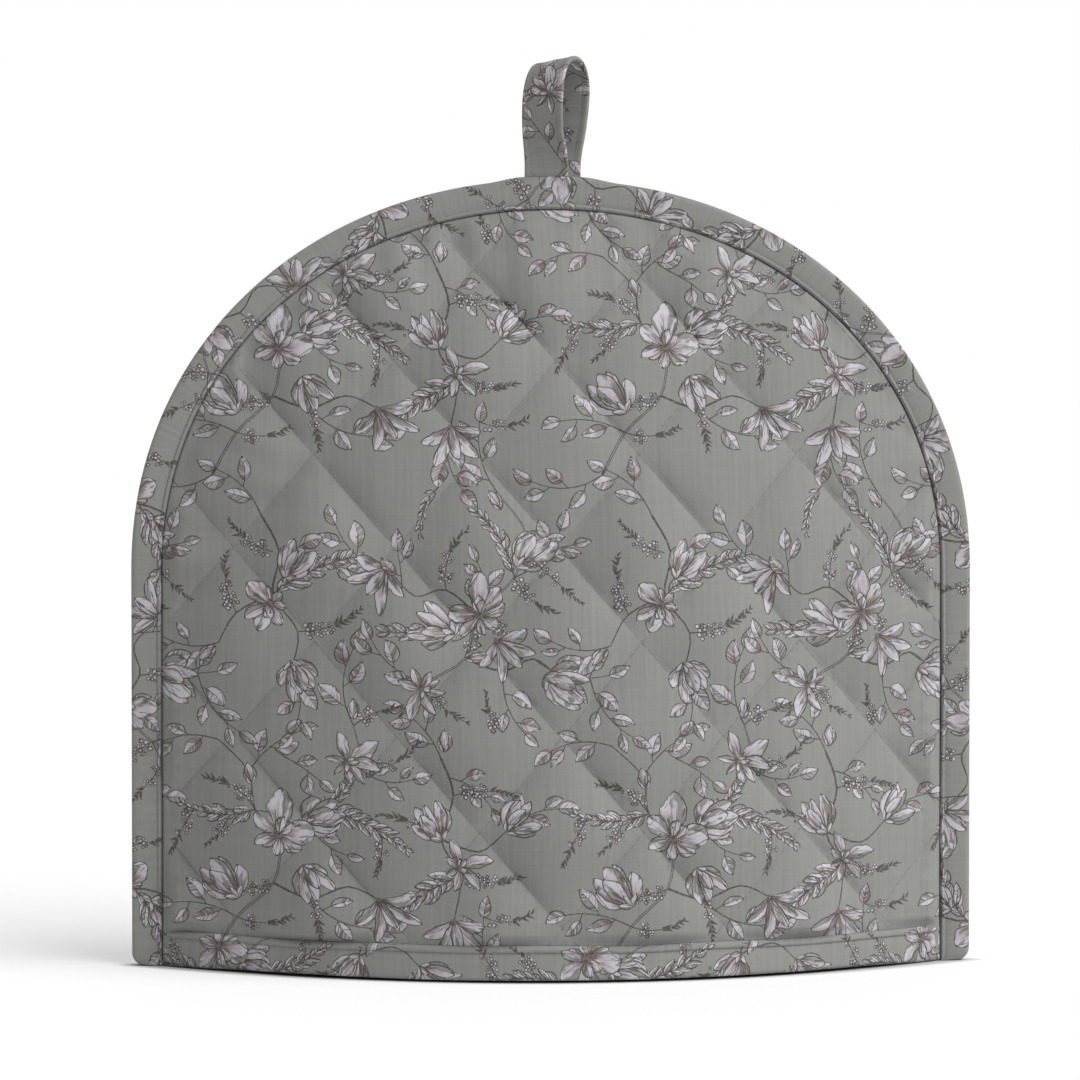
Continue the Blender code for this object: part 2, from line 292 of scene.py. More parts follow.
def half_width(z, inset):
    """Half the width at height z of the outline drawn `inset` inside the finished edge."""
    rise = np.maximum(z - SHOULDER, 0.0) / (ARCH_HEIGHT - inset - SHOULDER)
    return (HALF - inset) * np.maximum(1 - rise ** ARCH_POWER, 0.0) ** (1 / ARCH_POWER)


def bulge(x, z):
    """How far a panel stands out from the seam: every level section is a parabola."""
    reach = np.maximum(half_width(z, BULGE_INSET), 1e-6)
    return STAND_OUT * np.maximum(1 - (z / CREST) ** 2, 0.0) * np.maximum(1 - (x / reach) ** 2, 0.0)


def slope(x, z):
    """Turns a thickness square to a panel into one along Y."""
    step = SLOPE_STEP
    across = (bulge(x + step, z) - bulge(x - step, z)) / (2 * step)
    up = (bulge(x, z + step) - bulge(x, z - step)) / (2 * step)
    return np.where(bulge(x, z) > 0, np.sqrt(1 + across ** 2 + up ** 2), 1.0)


def edge_depth(x, z):
    """About how far inside the arch binding's inner edge a point lies."""
    across = (np.abs(x) / (HALF - BINDING)) ** ARCH_POWER
    up = (np.maximum(z - SHOULDER, 0.0) / (ARCH_HEIGHT - BINDING - SHOULDER)) ** ARCH_POWER
    return (HALF - BINDING) * (1 - (across + up) ** (1 / ARCH_POWER))


class Panelling:
    """The two faces of a quilted panel, as distances from the seam plane."""

    WAVES = 0.11             # length of the cloth's broad waves
    LOOSE = 0.012            # they are full where a panel stands out this far
    LOOSE_UP = 0.03          # and this far over the hem binding
    DIAMONDS = 0.07          # length over which the diamonds' fullness changes
    GATHERS = 47             # gathers in a full turn about the foot of the arch
    WANDER = 0.12            # length over which they wander
    STRENGTH = 0.05          # length over which they change in height
    GATHER_START = 0.004     # they are full this far inside the binding
    GATHER_REACH = 0.014     # and die away over this length
    GATHER_FOOT = 0.06       # height where they start
    GATHER_GROW = 0.1        # height that they take to grow
    EDGE_RISE = 0.0006       # the full edge beside the binding stands up over this length
    EDGE_FALL = 0.007        # and comes down over this one

    def __init__(self, quilt, facing):
        self.quilt = quilt
        self.seed = 11 if facing < 0 else 31
        self.most = math.ceil(TOP / quilt.pitch) + 3       # rows of lines that cover a panel

    def rows(self, x, z, side):
        """Place across one family of quilting lines: whole numbers lie on a line."""
        quilt = self.quilt
        across = side * x * math.sin(quilt.angle) + (z - quilt.start) * math.cos(quilt.angle)
        return across / quilt.pitch

    def point(self, falling, rising):
        """The place (x, z) of two such numbers."""
        quilt = self.quilt
        x = (falling - rising) * quilt.pitch / 2 / math.sin(quilt.angle)
        return x, quilt.start + (falling + rising) * quilt.pitch / 2 / math.cos(quilt.angle)

    def lines(self, steps):
        """Every quilting line: the places (x, z) at those steps along it."""
        for row in range(-self.most, self.most + 1):
            yield self.point(row, steps)
            yield self.point(steps, row)

    def puff(self, x, z):
        """0 on the quilting lines and bound edges, 1 in the middle of a diamond."""
        quilt = self.quilt
        falling = np.abs(np.sin(math.pi * self.rows(x, z, 1)))
        rising = np.abs(np.sin(math.pi * self.rows(x, z, -1)))
        free = smooth(bulge(x, z) / quilt.fade) * smooth((z - HEM) / quilt.fade)
        return (falling * rising) ** quilt.fullness * free

    def middle(self, x, z):
        """Where the panel would lie without its wadding."""
        loose = smooth(bulge(x, z) / self.LOOSE) * smooth((z - HEM) / self.LOOSE_UP)
        waves = self.quilt.sag * loose * ripple(x, z, self.WAVES, self.seed)
        return SEAM_MID + bulge(x, z) + waves

    def outside(self, x, z):
        """The printed face, with its puffs, its gathers and its full edge."""
        quilt = self.quilt
        uneven = 1 + quilt.uneven * ripple(x, z, self.DIAMONDS, self.seed + 1)
        rise = quilt.rise * self.puff(x, z) * uneven
        turn = np.arctan2(z - SHOULDER, x)
        depth = edge_depth(x, z)
        wave = np.sin(turn * self.GATHERS + 2.5 * ripple(x, z, self.WANDER, self.seed + 2))
        held = np.exp(-np.maximum(depth, 0) / self.GATHER_REACH) * smooth(depth / self.GATHER_START)
        held *= smooth((z - self.GATHER_FOOT) / self.GATHER_GROW)
        gather = quilt.gather * wave * held * (1 + ripple(x, z, self.STRENGTH, self.seed + 3))
        past = smooth((depth - self.EDGE_RISE) / self.EDGE_FALL)
        full = quilt.edge * smooth(depth / self.EDGE_RISE) * (1 - past)
        return self.middle(x, z) + (PANEL / 2 + rise + gather + full) * slope(x, z)

    def inside(self, x, z):
        """The plain face towards the pot."""
        thick = PANEL / 2 + self.quilt.rise_inside * self.puff(x, z)
        return np.maximum(self.middle(x, z) - thick * slope(x, z), GAP / 2)


# ---------------------------------------------------------------- the drawing

Shape = namedtuple("Shape", "points tone heart reach way ribbed")

TONES = {                     # how much petal ink, warm ink and line ink lie on the ground
    "petal": (1.0, 0.0, 0.0),
    "shade": (0.35, 0.08, 0.0),
    "base": (0.2, 0.8, 0.35),
    "line": (0.0, 0.1, 1.0),
    "bare": (0.0, 0.0, 0.0),
}
VEIN_FAN = 5.0                # a petal's veins meet half this far behind its base, in millimetres
VEIN_SPREAD = 3.7             # moves each petal to another part of the vein pattern
REPEAT = complex(127, 159)
GAP_TRIES = 220               # how often a sprig of each length is tried in the gaps

# Branches: their width, then the points that they run through
BRANCHES = (
    (0.8, (14, 4), (22, 18), (34, 30), (38, 44), (52, 54), (62, 68), (60, 82)),
    (0.6, (34, 30), (46, 26), (58, 30), (68, 26)),
    (0.5, (38, 44), (28, 54), (26, 66), (16, 76)),
    (0.8, (74, 84), (84, 96), (96, 104), (100, 118), (112, 130), (116, 144), (108, 156)),
    (0.6, (96, 104), (108, 100), (118, 104), (126, 98)),
    (0.5, (100, 118), (90, 126), (80, 124), (72, 132)),
    (0.6, (30, 150), (36, 138), (34, 124), (42, 112), (40, 100)),
    (0.5, (34, 124), (22, 118), (16, 108)),
    (0.6, (88, 72), (92, 60), (88, 46), (94, 34), (92, 20)),
    (0.5, (88, 46), (100, 42), (108, 48)),
)

# What grows on them, in the order in which it is drawn: the kind, then for each one its x, z,
# heading in degrees and length, for twigs and sprigs also the bend in degrees, and for a twig the
# length of a leaf
SPRIGS = (
    ("twig", (22, 18, 150, 22, 40, 8.5), (14, 4, 215, 24, -60, 8.0), (46, 26, -50, 27, 60, 8.5),
     (26, 66, 60, 22, -40, 8.0), (16, 76, 160, 20, 50, 8.0), (60, 82, 120, 26, -60, 8.5),
     (84, 96, 170, 24, -55, 8.5), (118, 104, -40, 26, 55, 8.5), (112, 130, 20, 22, 50, 8.5),
     (72, 132, 170, 24, -60, 8.5), (108, 156, 130, 26, -50, 8.5), (16, 108, 200, 20, -50, 8.0),
     (40, 100, -60, 22, -60, 8.0), (30, 150, 110, 22, 50, 8.0), (92, 20, -110, 22, 60, 8.0),
     (108, 48, 50, 20, -50, 8.0), (88, 72, 110, 20, 40, 8.0), (62, 68, -40, 18, 60, 7.0),
     (36, 138, 10, 20, -50, 7.5), (100, 118, 60, 18, 60, 7.0), (46, 50, -70, 16, 60, 7.0),
     (90, 66, -10, 18, -50, 7.0), (116, 142, -30, 16, 50, 7.0)),
    ("feather_sprig", (38, 44, 30, 30, 30), (100, 118, 205, 32, -30), (52, 54, -10, 28, -30),
     (34, 124, 40, 30, -30), (94, 34, 200, 30, 30), (28, 54, 200, 24, -40), (112, 130, 100, 26, 40)),
    ("bead_sprig", (34, 30, 205, 22, -50), (62, 68, -5, 22, 60), (28, 54, 120, 20, 60),
     (96, 104, 60, 22, 50), (100, 118, -20, 20, -50), (90, 126, 100, 22, -60), (42, 112, 0, 22, 40),
     (22, 118, 120, 20, -40), (88, 46, 140, 22, 40), (92, 60, 20, 20, -40), (94, 34, -20, 20, 40),
     (60, 82, 40, 18, -40), (22, 18, -20, 18, 50), (34, 138, 170, 18, -50), (112, 130, -60, 18, 40),
     (84, 96, -70, 18, 50)),
    ("cup_bloom", (22, 25, 130, 15), (44, 50, 20, 14)),
    ("open_bloom", (36, 46, 75, 25)),
    ("cup_bloom", (44, 36, -60, 12)),
    ("star_bloom", (58, 70, 50, 20)),
    ("drooping_bloom", (68, 26, -60, 15)),
    ("bud", (27, 62, 100, 7.0)),
    ("cup_bloom", (92, 112, 160, 15)),
    ("drooping_bloom", (106, 110, -50, 14)),
    ("open_bloom", (101, 118, 110, 24)),
    ("cup_bloom", (122, 98, -30, 15), (113, 134, 50, 15)),
    ("star_bloom", (82, 94, 230, 19)),
    ("drooping_bloom", (71, 133, 230, 15)),
    ("bud", (96, 104, 10, 7.0)),
    ("cup_bloom", (38, 130, 60, 13)),
    ("open_bloom", (33, 121, 200, 19)),
    ("cup_bloom", (40, 102, -70, 13)),
    ("bud", (15, 107, 220, 7.0)),
    ("cup_bloom", (88, 46, 120, 13)),
    ("star_bloom", (94, 37, 20, 19)),
    ("cup_bloom", (109, 49, 40, 13)),
    ("drooping_bloom", (92, 20, -80, 14)),
    ("bud", (89, 74, 90, 7.0), (60, 84, 90, 6.5), (108, 152, 120, 7.0)),
)
GAP_SPRIGS = ((20, 2.6), (15, 2.3))     # length of those that fill gaps, and the room they need
GAP_LEAF = 7.5


def bow(start, heading, length, bend, steps, places=None):
    """A line that leaves `start` at `heading` and turns evenly by `bend`."""
    places = places or [i / steps for i in range(steps + 1)]
    line = [start]
    for a, b in zip(places, places[1:]):
        line.append(line[-1] + cmath.rect(length * (b - a), heading + bend * (a + b) / 2))
    return line


def flowing(knots, steps=4):
    """A smooth line through the knots."""
    line = []
    for i in range(len(knots) - 1):
        a, b = knots[max(i - 1, 0)], knots[i]
        c, d = knots[i + 1], knots[min(i + 2, len(knots) - 1)]
        for k in range(steps):
            t = k / steps
            rise = (c - a) / 2 * t + (a - 2.5 * b + 2 * c - d / 2) * t ** 2
            line.append(b + rise + (1.5 * (b - c) + (d - a) / 2) * t ** 3)
    return line + [knots[-1]]


class Drawing:
    """One repeat of the print: shapes laid one over another, the last on top."""

    def __init__(self, line, seed):
        self.line = line
        self.dice = random.Random(seed)
        self.shapes = []

    def about(self, value, spread):
        """A value that strays by up to this share of itself."""
        return value * (1 + self.dice.uniform(-spread, spread))

    def shape(self, points, tone, heart=0j, reach=0.0, way=0j, ribbed=False):
        """`heart` is where a petal is reddest, and the red is gone at `reach` from it.

        `way` is the direction in which its veins spread from the heart, or from a rib if it has one.
        """
        self.shapes.append(Shape(np.array(points), tone, heart, reach, way, ribbed))

    def stroke(self, line, first, last, tone="line"):
        """A line whose width runs from `first` to `last`; a width of 0 is a point."""
        count = len(line) - 1
        left, right = [], []
        for i, point in enumerate(line):
            ahead = line[min(i + 1, count)] - line[max(i - 1, 0)]
            side = ahead / (abs(ahead) or 1) * 1j
            half = (first + (last - first) * i / count) / 2
            left.append(point + side * half)
            if half:
                right.append(point - side * half)
        self.shape(left + right[::-1], tone)

    def spot(self, centre, width, tone, sides):
        """A small, uneven many-sided dot."""
        turn = self.dice.uniform(0, math.tau)
        corners = [self.about(width / 2, 0.12) for _ in range(sides)]
        self.shape([centre + cmath.rect(corner, turn + math.tau * i / sides)
                    for i, corner in enumerate(corners)], tone)

    def blade(self, base, heading, length, width, bend, widest=1.0, blunt=0.75, ragged=0.06,
              creases=0, ribbed=False, curl=False, blush=0.6):
        """A petal or leaf from its base: an inked outline, a shaded side and a pale side."""
        dice, line = self.dice, self.line
        lit = dice.choice((1, -1))
        steps = 12 if length > 9 else 9 if length > 6 else 7 if length > 3.6 else 3
        places = [i / steps for i in range(steps + 1)]
        if steps > 3:        # closer together at the two ends, which are round
            places = [(1 - math.cos(math.pi * place)) / 2 * 0.7 + place * 0.3 for place in places]
        middle = bow(base, heading, length, bend, steps, places)
        sides, halves = [], []
        for i in range(steps + 1):
            ahead = middle[min(i + 1, steps)] - middle[max(i - 1, 0)]
            sides.append(ahead / abs(ahead) * 1j)
            swell = math.sin(math.pi * min(max(places[i], 0.02), 0.98) ** widest)
            halves.append(width / 2 * swell ** blunt)
        rough = {}
        for way in (1, -1):
            waves = [1 + dice.uniform(-2, 2) * ragged for _ in halves]
            rough[way] = [(a + b) / 2 for a, b in zip(waves, waves[1:] + waves[:1])]
        lean = {way: dice.uniform(0.8, 1.15) for way in (1, -1)}

        def at(place, across, grow=0.0):
            """A point by its place along, 0 to steps, and across, 1 at the left edge."""
            way = 1 if across >= 0 else -1
            i = min(int(place), steps - 1)
            part = place - i
            low, high = (halves[k] * rough[way][k] for k in (i, i + 1))
            half = (low + (high - low) * part) * lean[way]
            centre = middle[i] + (middle[i + 1] - middle[i]) * part
            side = sides[i] + (sides[i + 1] - sides[i]) * part
            return centre + side * (half * across + way * grow)

        def around(thin, thick):
            last = middle[-1] - middle[-2]
            tip = middle[-1] + last / abs(last) * (thin + thick)
            foot = middle[0] - cmath.rect((thin + thick) / 2, heading)
            edge = [at(i, lit, thin) for i in range(1, steps)]
            return [foot] + edge + [tip] + [at(i, -lit, thick) for i in range(steps - 1, 0, -1)]

        laid = (base, length * blush, cmath.rect(1, heading + bend / 2), ribbed)
        self.shape(around(line * 0.35, line * 0.9), "line")
        self.shape(around(-line * 0.4, -line * 0.4), "shade", *laid)
        over = 0.04 if ribbed else dice.uniform(-0.45, 0.1)
        inner = [at(i, lit * (over + dice.uniform(-0.1, 0.1) * (not ribbed))) for i in range(1, steps)]
        outer = [at(i, lit * dice.uniform(0.74, 0.92)) for i in range(steps - 1, 0, -1)]
        self.shape([at(0.4, lit * 0.3)] + inner + [at(steps - 0.3, 0)] + outer, "petal", *laid)
        if ribbed:
            self.stroke([at(0, 0), at(steps * 0.5, 0), at(steps * 0.95, 0)], line, line * 0.2)
        for k in range(creases):
            across = (k + 0.5) / creases * 1.5 - 0.75 + dice.uniform(-0.2, 0.2)
            reach = steps * dice.uniform(0.5, 0.9)
            run = [at(0.2, across * 0.3), at(reach / 2, across * 0.78), at(reach, across * 0.9)]
            self.stroke(run, line * dice.uniform(0.8, 1.3), 0)
        if curl:
            way = dice.choice((1, -1))
            first = steps * dice.uniform(0.45, 0.6)
            run = [at(first, way * 0.95), at(steps * 0.8, way * 0.45), at(steps, 0)]
            self.shape(run + [at(steps * 0.85, way * 1.05, line * 0.3)], "petal", *laid)
            self.stroke(run, line * 0.5, line * 0.9)

    def leaf(self, base, heading, length, bend):
        """An ovate leaf: pale on one side of its midrib, veined on the other."""
        dice = self.dice
        self.blade(base, heading, length, length * dice.uniform(0.5, 0.66), bend + dice.uniform(-0.4, 0.4),
                   widest=dice.uniform(0.75, 1.0), blunt=0.8, ragged=0.06, ribbed=True,
                   curl=dice.random() < 0.3, blush=dice.choice((0.2, 0.3, 0.9)))

    def petal(self, base, heading, length, width, bend, creases=2):
        """A broad petal with a ragged edge, often turned over at its tip."""
        dice = self.dice
        self.blade(base, heading, length, width, bend, widest=1.35, blunt=0.62, ragged=0.10,
                   creases=creases, curl=dice.random() < 0.5, blush=dice.choice((0.6, 0.8, 1.0)))

    def stamens(self, centre, heading, length):
        """A fan of fine lines that end in dots."""
        count = 5
        for k in range(count):
            turn = heading + 2.4 * ((k + 0.5) / count - 0.5)
            line = bow(centre, turn, self.about(length, 0.25), self.dice.uniform(-0.6, 0.6), 2)
            self.stroke(line, 0.3, 0.2)
            self.spot(line[-1], 0.75, "line", 5)

    def open_bloom(self, centre, heading, width):
        """An open flower of uneven petals, seen a little from one side."""
        dice = self.dice
        count = 7
        middle = (count - 1) / 2
        for k in sorted(range(count), key=lambda k: -abs(k - middle)):
            turn = heading + math.tau * (k - middle) / count + dice.uniform(-0.25, 0.25)
            length = width / 2 * (0.74 + 0.30 * math.cos(turn - heading)) * dice.uniform(0.85, 1.15)
            foot = centre + cmath.rect(width * 0.03, turn)
            self.petal(foot, turn, length, length * dice.uniform(0.48, 0.68), dice.uniform(-0.6, 0.6))
        for _ in range(3):
            turn = heading + dice.uniform(-1.2, 1.2)
            length = width * dice.uniform(0.2, 0.3)
            self.petal(centre, turn, length, width * 0.13, dice.uniform(-0.6, 0.6), 1)
        self.spot(centre, width * 0.1, "base", 7)
        self.stamens(centre, heading + 0.4, width * 0.17)

    def cup_bloom(self, base, heading, length):
        """A half-open flower from the side: its petals stand up from a dark base."""
        dice = self.dice
        for spread, part in ((-1.0, 0.75), (1.0, 0.8), (-0.6, 1.0),
                             (0.5, 0.95), (-0.12, 0.92), (0.25, 0.75)):
            turn = heading + spread + dice.uniform(-0.15, 0.15)
            bend = dice.uniform(-0.3, 0.3) - spread * 0.75
            long = length * part * dice.uniform(0.85, 1.08)
            self.petal(base, turn, long, length * dice.uniform(0.27, 0.38), bend)
        self.spot(base + cmath.rect(length * 0.05, heading), length * 0.13, "base", 6)
        for spread in (-0.8, 0.0, 0.7):
            foot = base - cmath.rect(length * 0.05, heading)
            self.blade(foot, heading + spread, length * 0.3, length * 0.12, spread * 0.4)

    def star_bloom(self, centre, heading, width):
        """A flower of six or seven long, narrow petals that stand apart."""
        dice = self.dice
        count = dice.choice((6, 7))
        for k in range(count):
            turn = heading + math.tau * k / count + dice.uniform(-0.3, 0.3)
            facing = 0.8 + 0.26 * math.cos(turn - heading)
            length = width * 0.52 * facing * dice.uniform(0.8, 1.15)
            foot = centre + cmath.rect(width * 0.02, turn)
            self.blade(foot, turn, length, length * dice.uniform(0.34, 0.46), dice.uniform(-0.7, 0.7),
                       widest=1.1, blunt=0.8, ragged=0.1, creases=2, curl=dice.random() < 0.3, blush=0.7)
        for _ in range(3):
            turn = heading + dice.uniform(-2.5, 2.5)
            self.blade(centre, turn, width * dice.uniform(0.14, 0.2), width * 0.09, dice.uniform(-0.6, 0.6))
        self.spot(centre, width * 0.07, "base", 6)

    def drooping_bloom(self, base, heading, length):
        """Long petals that hang and curl from a bent stalk."""
        dice = self.dice
        for spread, part, curl in ((-0.8, 0.75, -0.9), (0.75, 0.8, 0.95), (-0.32, 0.95, -0.5),
                                   (0.3, 1.0, 0.5), (0.0, 0.8, 0.1)):
            long = length * part * dice.uniform(0.9, 1.08)
            self.petal(base, heading + spread, long, length * dice.uniform(0.24, 0.32), curl)
        self.spot(base, length * 0.12, "base", 6)

    def bud(self, foot, heading, length):
        """A closed bud: three petals folded over each other, between two sepals."""
        dice = self.dice
        for spread, part in ((-0.35, 0.85), (0.4, 0.8), (0.0, 1.0)):
            self.petal(foot, heading + spread, length * part, length * dice.uniform(0.36, 0.46),
                       -spread * 1.5 + dice.uniform(-0.2, 0.2), 1)
        for spread in (-0.8, 0.8):
            self.blade(foot, heading + spread, length * 0.45, length * 0.14, -spread)

    def floret(self, centre, width):
        """A tiny flower of a few uneven lobes."""
        dice = self.dice
        turn = dice.uniform(0, math.tau)
        for k in range(3):
            at = centre + cmath.rect(width * 0.36, turn + math.tau * k / 3)
            self.spot(at, width * dice.uniform(0.62, 0.9), "line", 4)
        for k in range(3):
            at = centre + cmath.rect(width * 0.34, turn + math.tau * k / 3)
            self.spot(at, width * dice.uniform(0.3, 0.5), dice.choice(("petal", "petal", "shade")), 4)

    def bead_sprig(self, base, heading, length, bend):
        """A thin stem of tiny crowded flowers that end in dark beads."""
        dice = self.dice
        count = max(7, int(length / 1.5))
        line = bow(base, heading, length, bend, count)
        self.stroke(line, 0.42, 0.2)
        for i in range(2, count + 1):
            width = 1.9 * (1 - i / count) + 0.95
            ahead = line[i] - line[i - 1]
            side = ahead / abs(ahead) * 1j
            for way in (1, -1):
                if dice.random() < 0.25:
                    continue
                out = side * way * (width * 0.3 + dice.uniform(0, 0.9))
                centre = line[i] + out + ahead * dice.uniform(-0.6, 0.6)
                if i / count > 0.55:
                    turn = cmath.phase(ahead) + way * dice.uniform(0.3, 0.9)
                    stalk = bow(line[i], turn, width * dice.uniform(1.2, 1.9), 0.0, 1)
                    self.stroke(stalk, width * 0.8, 0.25)
                else:
                    self.floret(centre, width * dice.uniform(0.7, 1.1))
        self.spot(line[-1], 0.8, "line", 4)

    def feather_sprig(self, base, heading, length, bend):
        """A stem with many narrow leaves on both sides."""
        dice = self.dice
        count = max(6, int(length / 2.4))
        line = bow(base, heading, length, bend, count)
        self.stroke(line, 0.5, 0.25)
        for i in range(1, count + 1):
            ahead = cmath.phase(line[i] - line[i - 1])
            for way in (1, -1):
                long = self.about(length * 0.2 * (1.25 - 0.75 * i / count), 0.25)
                foot = line[i] - cmath.rect(dice.uniform(0, 1.2), ahead)
                turn = ahead + way * dice.uniform(0.4, 0.95)
                self.blade(foot, turn, long, long * dice.uniform(0.28, 0.4), -way * 0.5,
                           ribbed=long > 3.6, blush=0.2)

    def twig(self, base, heading, length, bend, leaf):
        """A curved stem with single leaves in turn and one at its tip."""
        dice = self.dice
        count = max(3, int(length / (leaf * 0.62)))
        line = bow(base, heading, length, bend, count)
        self.stroke(flowing(line, 2), 0.45, 0.3)
        for i in range(1, count):
            way = 1 if i % 2 else -1
            turn = cmath.phase(line[i + 1] - line[i]) + way * dice.uniform(0.7, 1.2)
            stalk = bow(line[i], turn, leaf * dice.uniform(0.12, 0.35), 0.0, 1)
            self.stroke(stalk, 0.4, 0.3)
            long = self.about(leaf * (1.06 - 0.3 * i / count), 0.15)
            self.leaf(stalk[-1], turn - way * 0.15, long, -way * 0.35)
        self.leaf(line[-1], cmath.phase(line[-1] - line[-2]), self.about(leaf * 0.86, 0.1), bend * 0.3)

    def fill_gaps(self):
        """Small sprigs that grow from what is drawn into the gaps that are left."""
        dice = self.dice
        for reach, room in GAP_SPRIGS:
            for _ in range(GAP_TRIES):
                taken = np.concatenate([shape.points for shape in self.shapes[::2]])
                base = taken[dice.randrange(len(taken))]
                heading, bend = dice.uniform(0, math.tau), dice.uniform(-1.2, 1.2)
                length = self.about(reach, 0.2)
                line = np.array(bow(base, heading, length + 3, bend, 6))[2:]
                off = taken[None, :] - line[:, None]
                off = (off.real + REPEAT.real / 2) % REPEAT.real - REPEAT.real / 2 + 1j * (
                    (off.imag + REPEAT.imag / 2) % REPEAT.imag - REPEAT.imag / 2)
                if np.abs(off).min() < room:
                    continue
                kind = dice.choice(("twig", "twig", "beads", "beads", "feather"))
                if kind == "beads":
                    self.bead_sprig(base, heading, length, bend)
                elif kind == "feather" and length > 12:
                    self.feather_sprig(base, heading, length, bend)
                else:
                    self.twig(base, heading, length, bend, GAP_LEAF)

    def branch(self, width, knots):
        """A stem drawn as two ink lines, with a pale core in a thick one."""
        line = flowing(knots)
        self.stroke(line, width + 0.2, width * 0.7)
        if width > 0.6:
            self.stroke(line[1:], width * 0.4, width * 0.2, "shade")

    def grow(self):
        """Draws every branch, what grows on it, and what fills the gaps."""
        for width, *knots in BRANCHES:
            self.branch(width, [complex(*knot) for knot in knots])
        for kind, *rows in SPRIGS:
            for x, z, heading, length, *rest in rows:
                bend = map(math.radians, rest[:1])
                getattr(self, kind)(complex(x, z), math.radians(heading), length, *bend, *rest[1:])
        self.fill_gaps()


def top_shape(points, shapes):
    """For each point, the number of the last shape that covers it, or -1."""
    order = np.argsort(points.real)
    across = points.real[order]
    top = np.full(len(points), -1)
    with np.errstate(divide="ignore", invalid="ignore"):
        for number, shape in enumerate(shapes):
            a = shape.points
            b = np.roll(a, -1)
            first, last = np.searchsorted(across, (a.real.min(), a.real.max()))
            near = order[first:last]
            near = near[(points.imag[near] > a.imag.min()) & (points.imag[near] < a.imag.max())]
            if not len(near):
                continue
            p = points[near][:, None]
            crosses = (a.imag > p.imag) != (b.imag > p.imag)
            at = a.real + (p.imag - a.imag) / (b.imag - a.imag) * (b.real - a.real)
            top[near[(crosses & (p.real < at)).sum(1) % 2 == 1]] = number
    return top


def box_of(points):
    """The lower left and upper right corner of each row of points."""
    across, up = points.real, points.imag
    return across.min(-1) + 1j * up.min(-1), across.max(-1) + 1j * up.max(-1)


def overlap(first, last, low, high):
    """Which boxes, from `first` to `last`, reach into the one from `low` to `high`."""
    across = (first.real < high.real) & (last.real > low.real)
    return across & (first.imag < high.imag) & (last.imag > low.imag)


def flat_points(points):
    """Complex numbers as the vectors that the triangulation takes."""
    return [Vector((point.real, point.imag)) for point in points]


def sides_of(triangles):
    """Each side of each triangle, its ends in order, and the triangle it belongs to."""
    sides = np.concatenate([triangles[:, [0, 1]], triangles[:, [1, 2]], triangles[:, [2, 0]]])
    return np.sort(sides, axis=1), np.tile(np.arange(len(triangles)), 3)


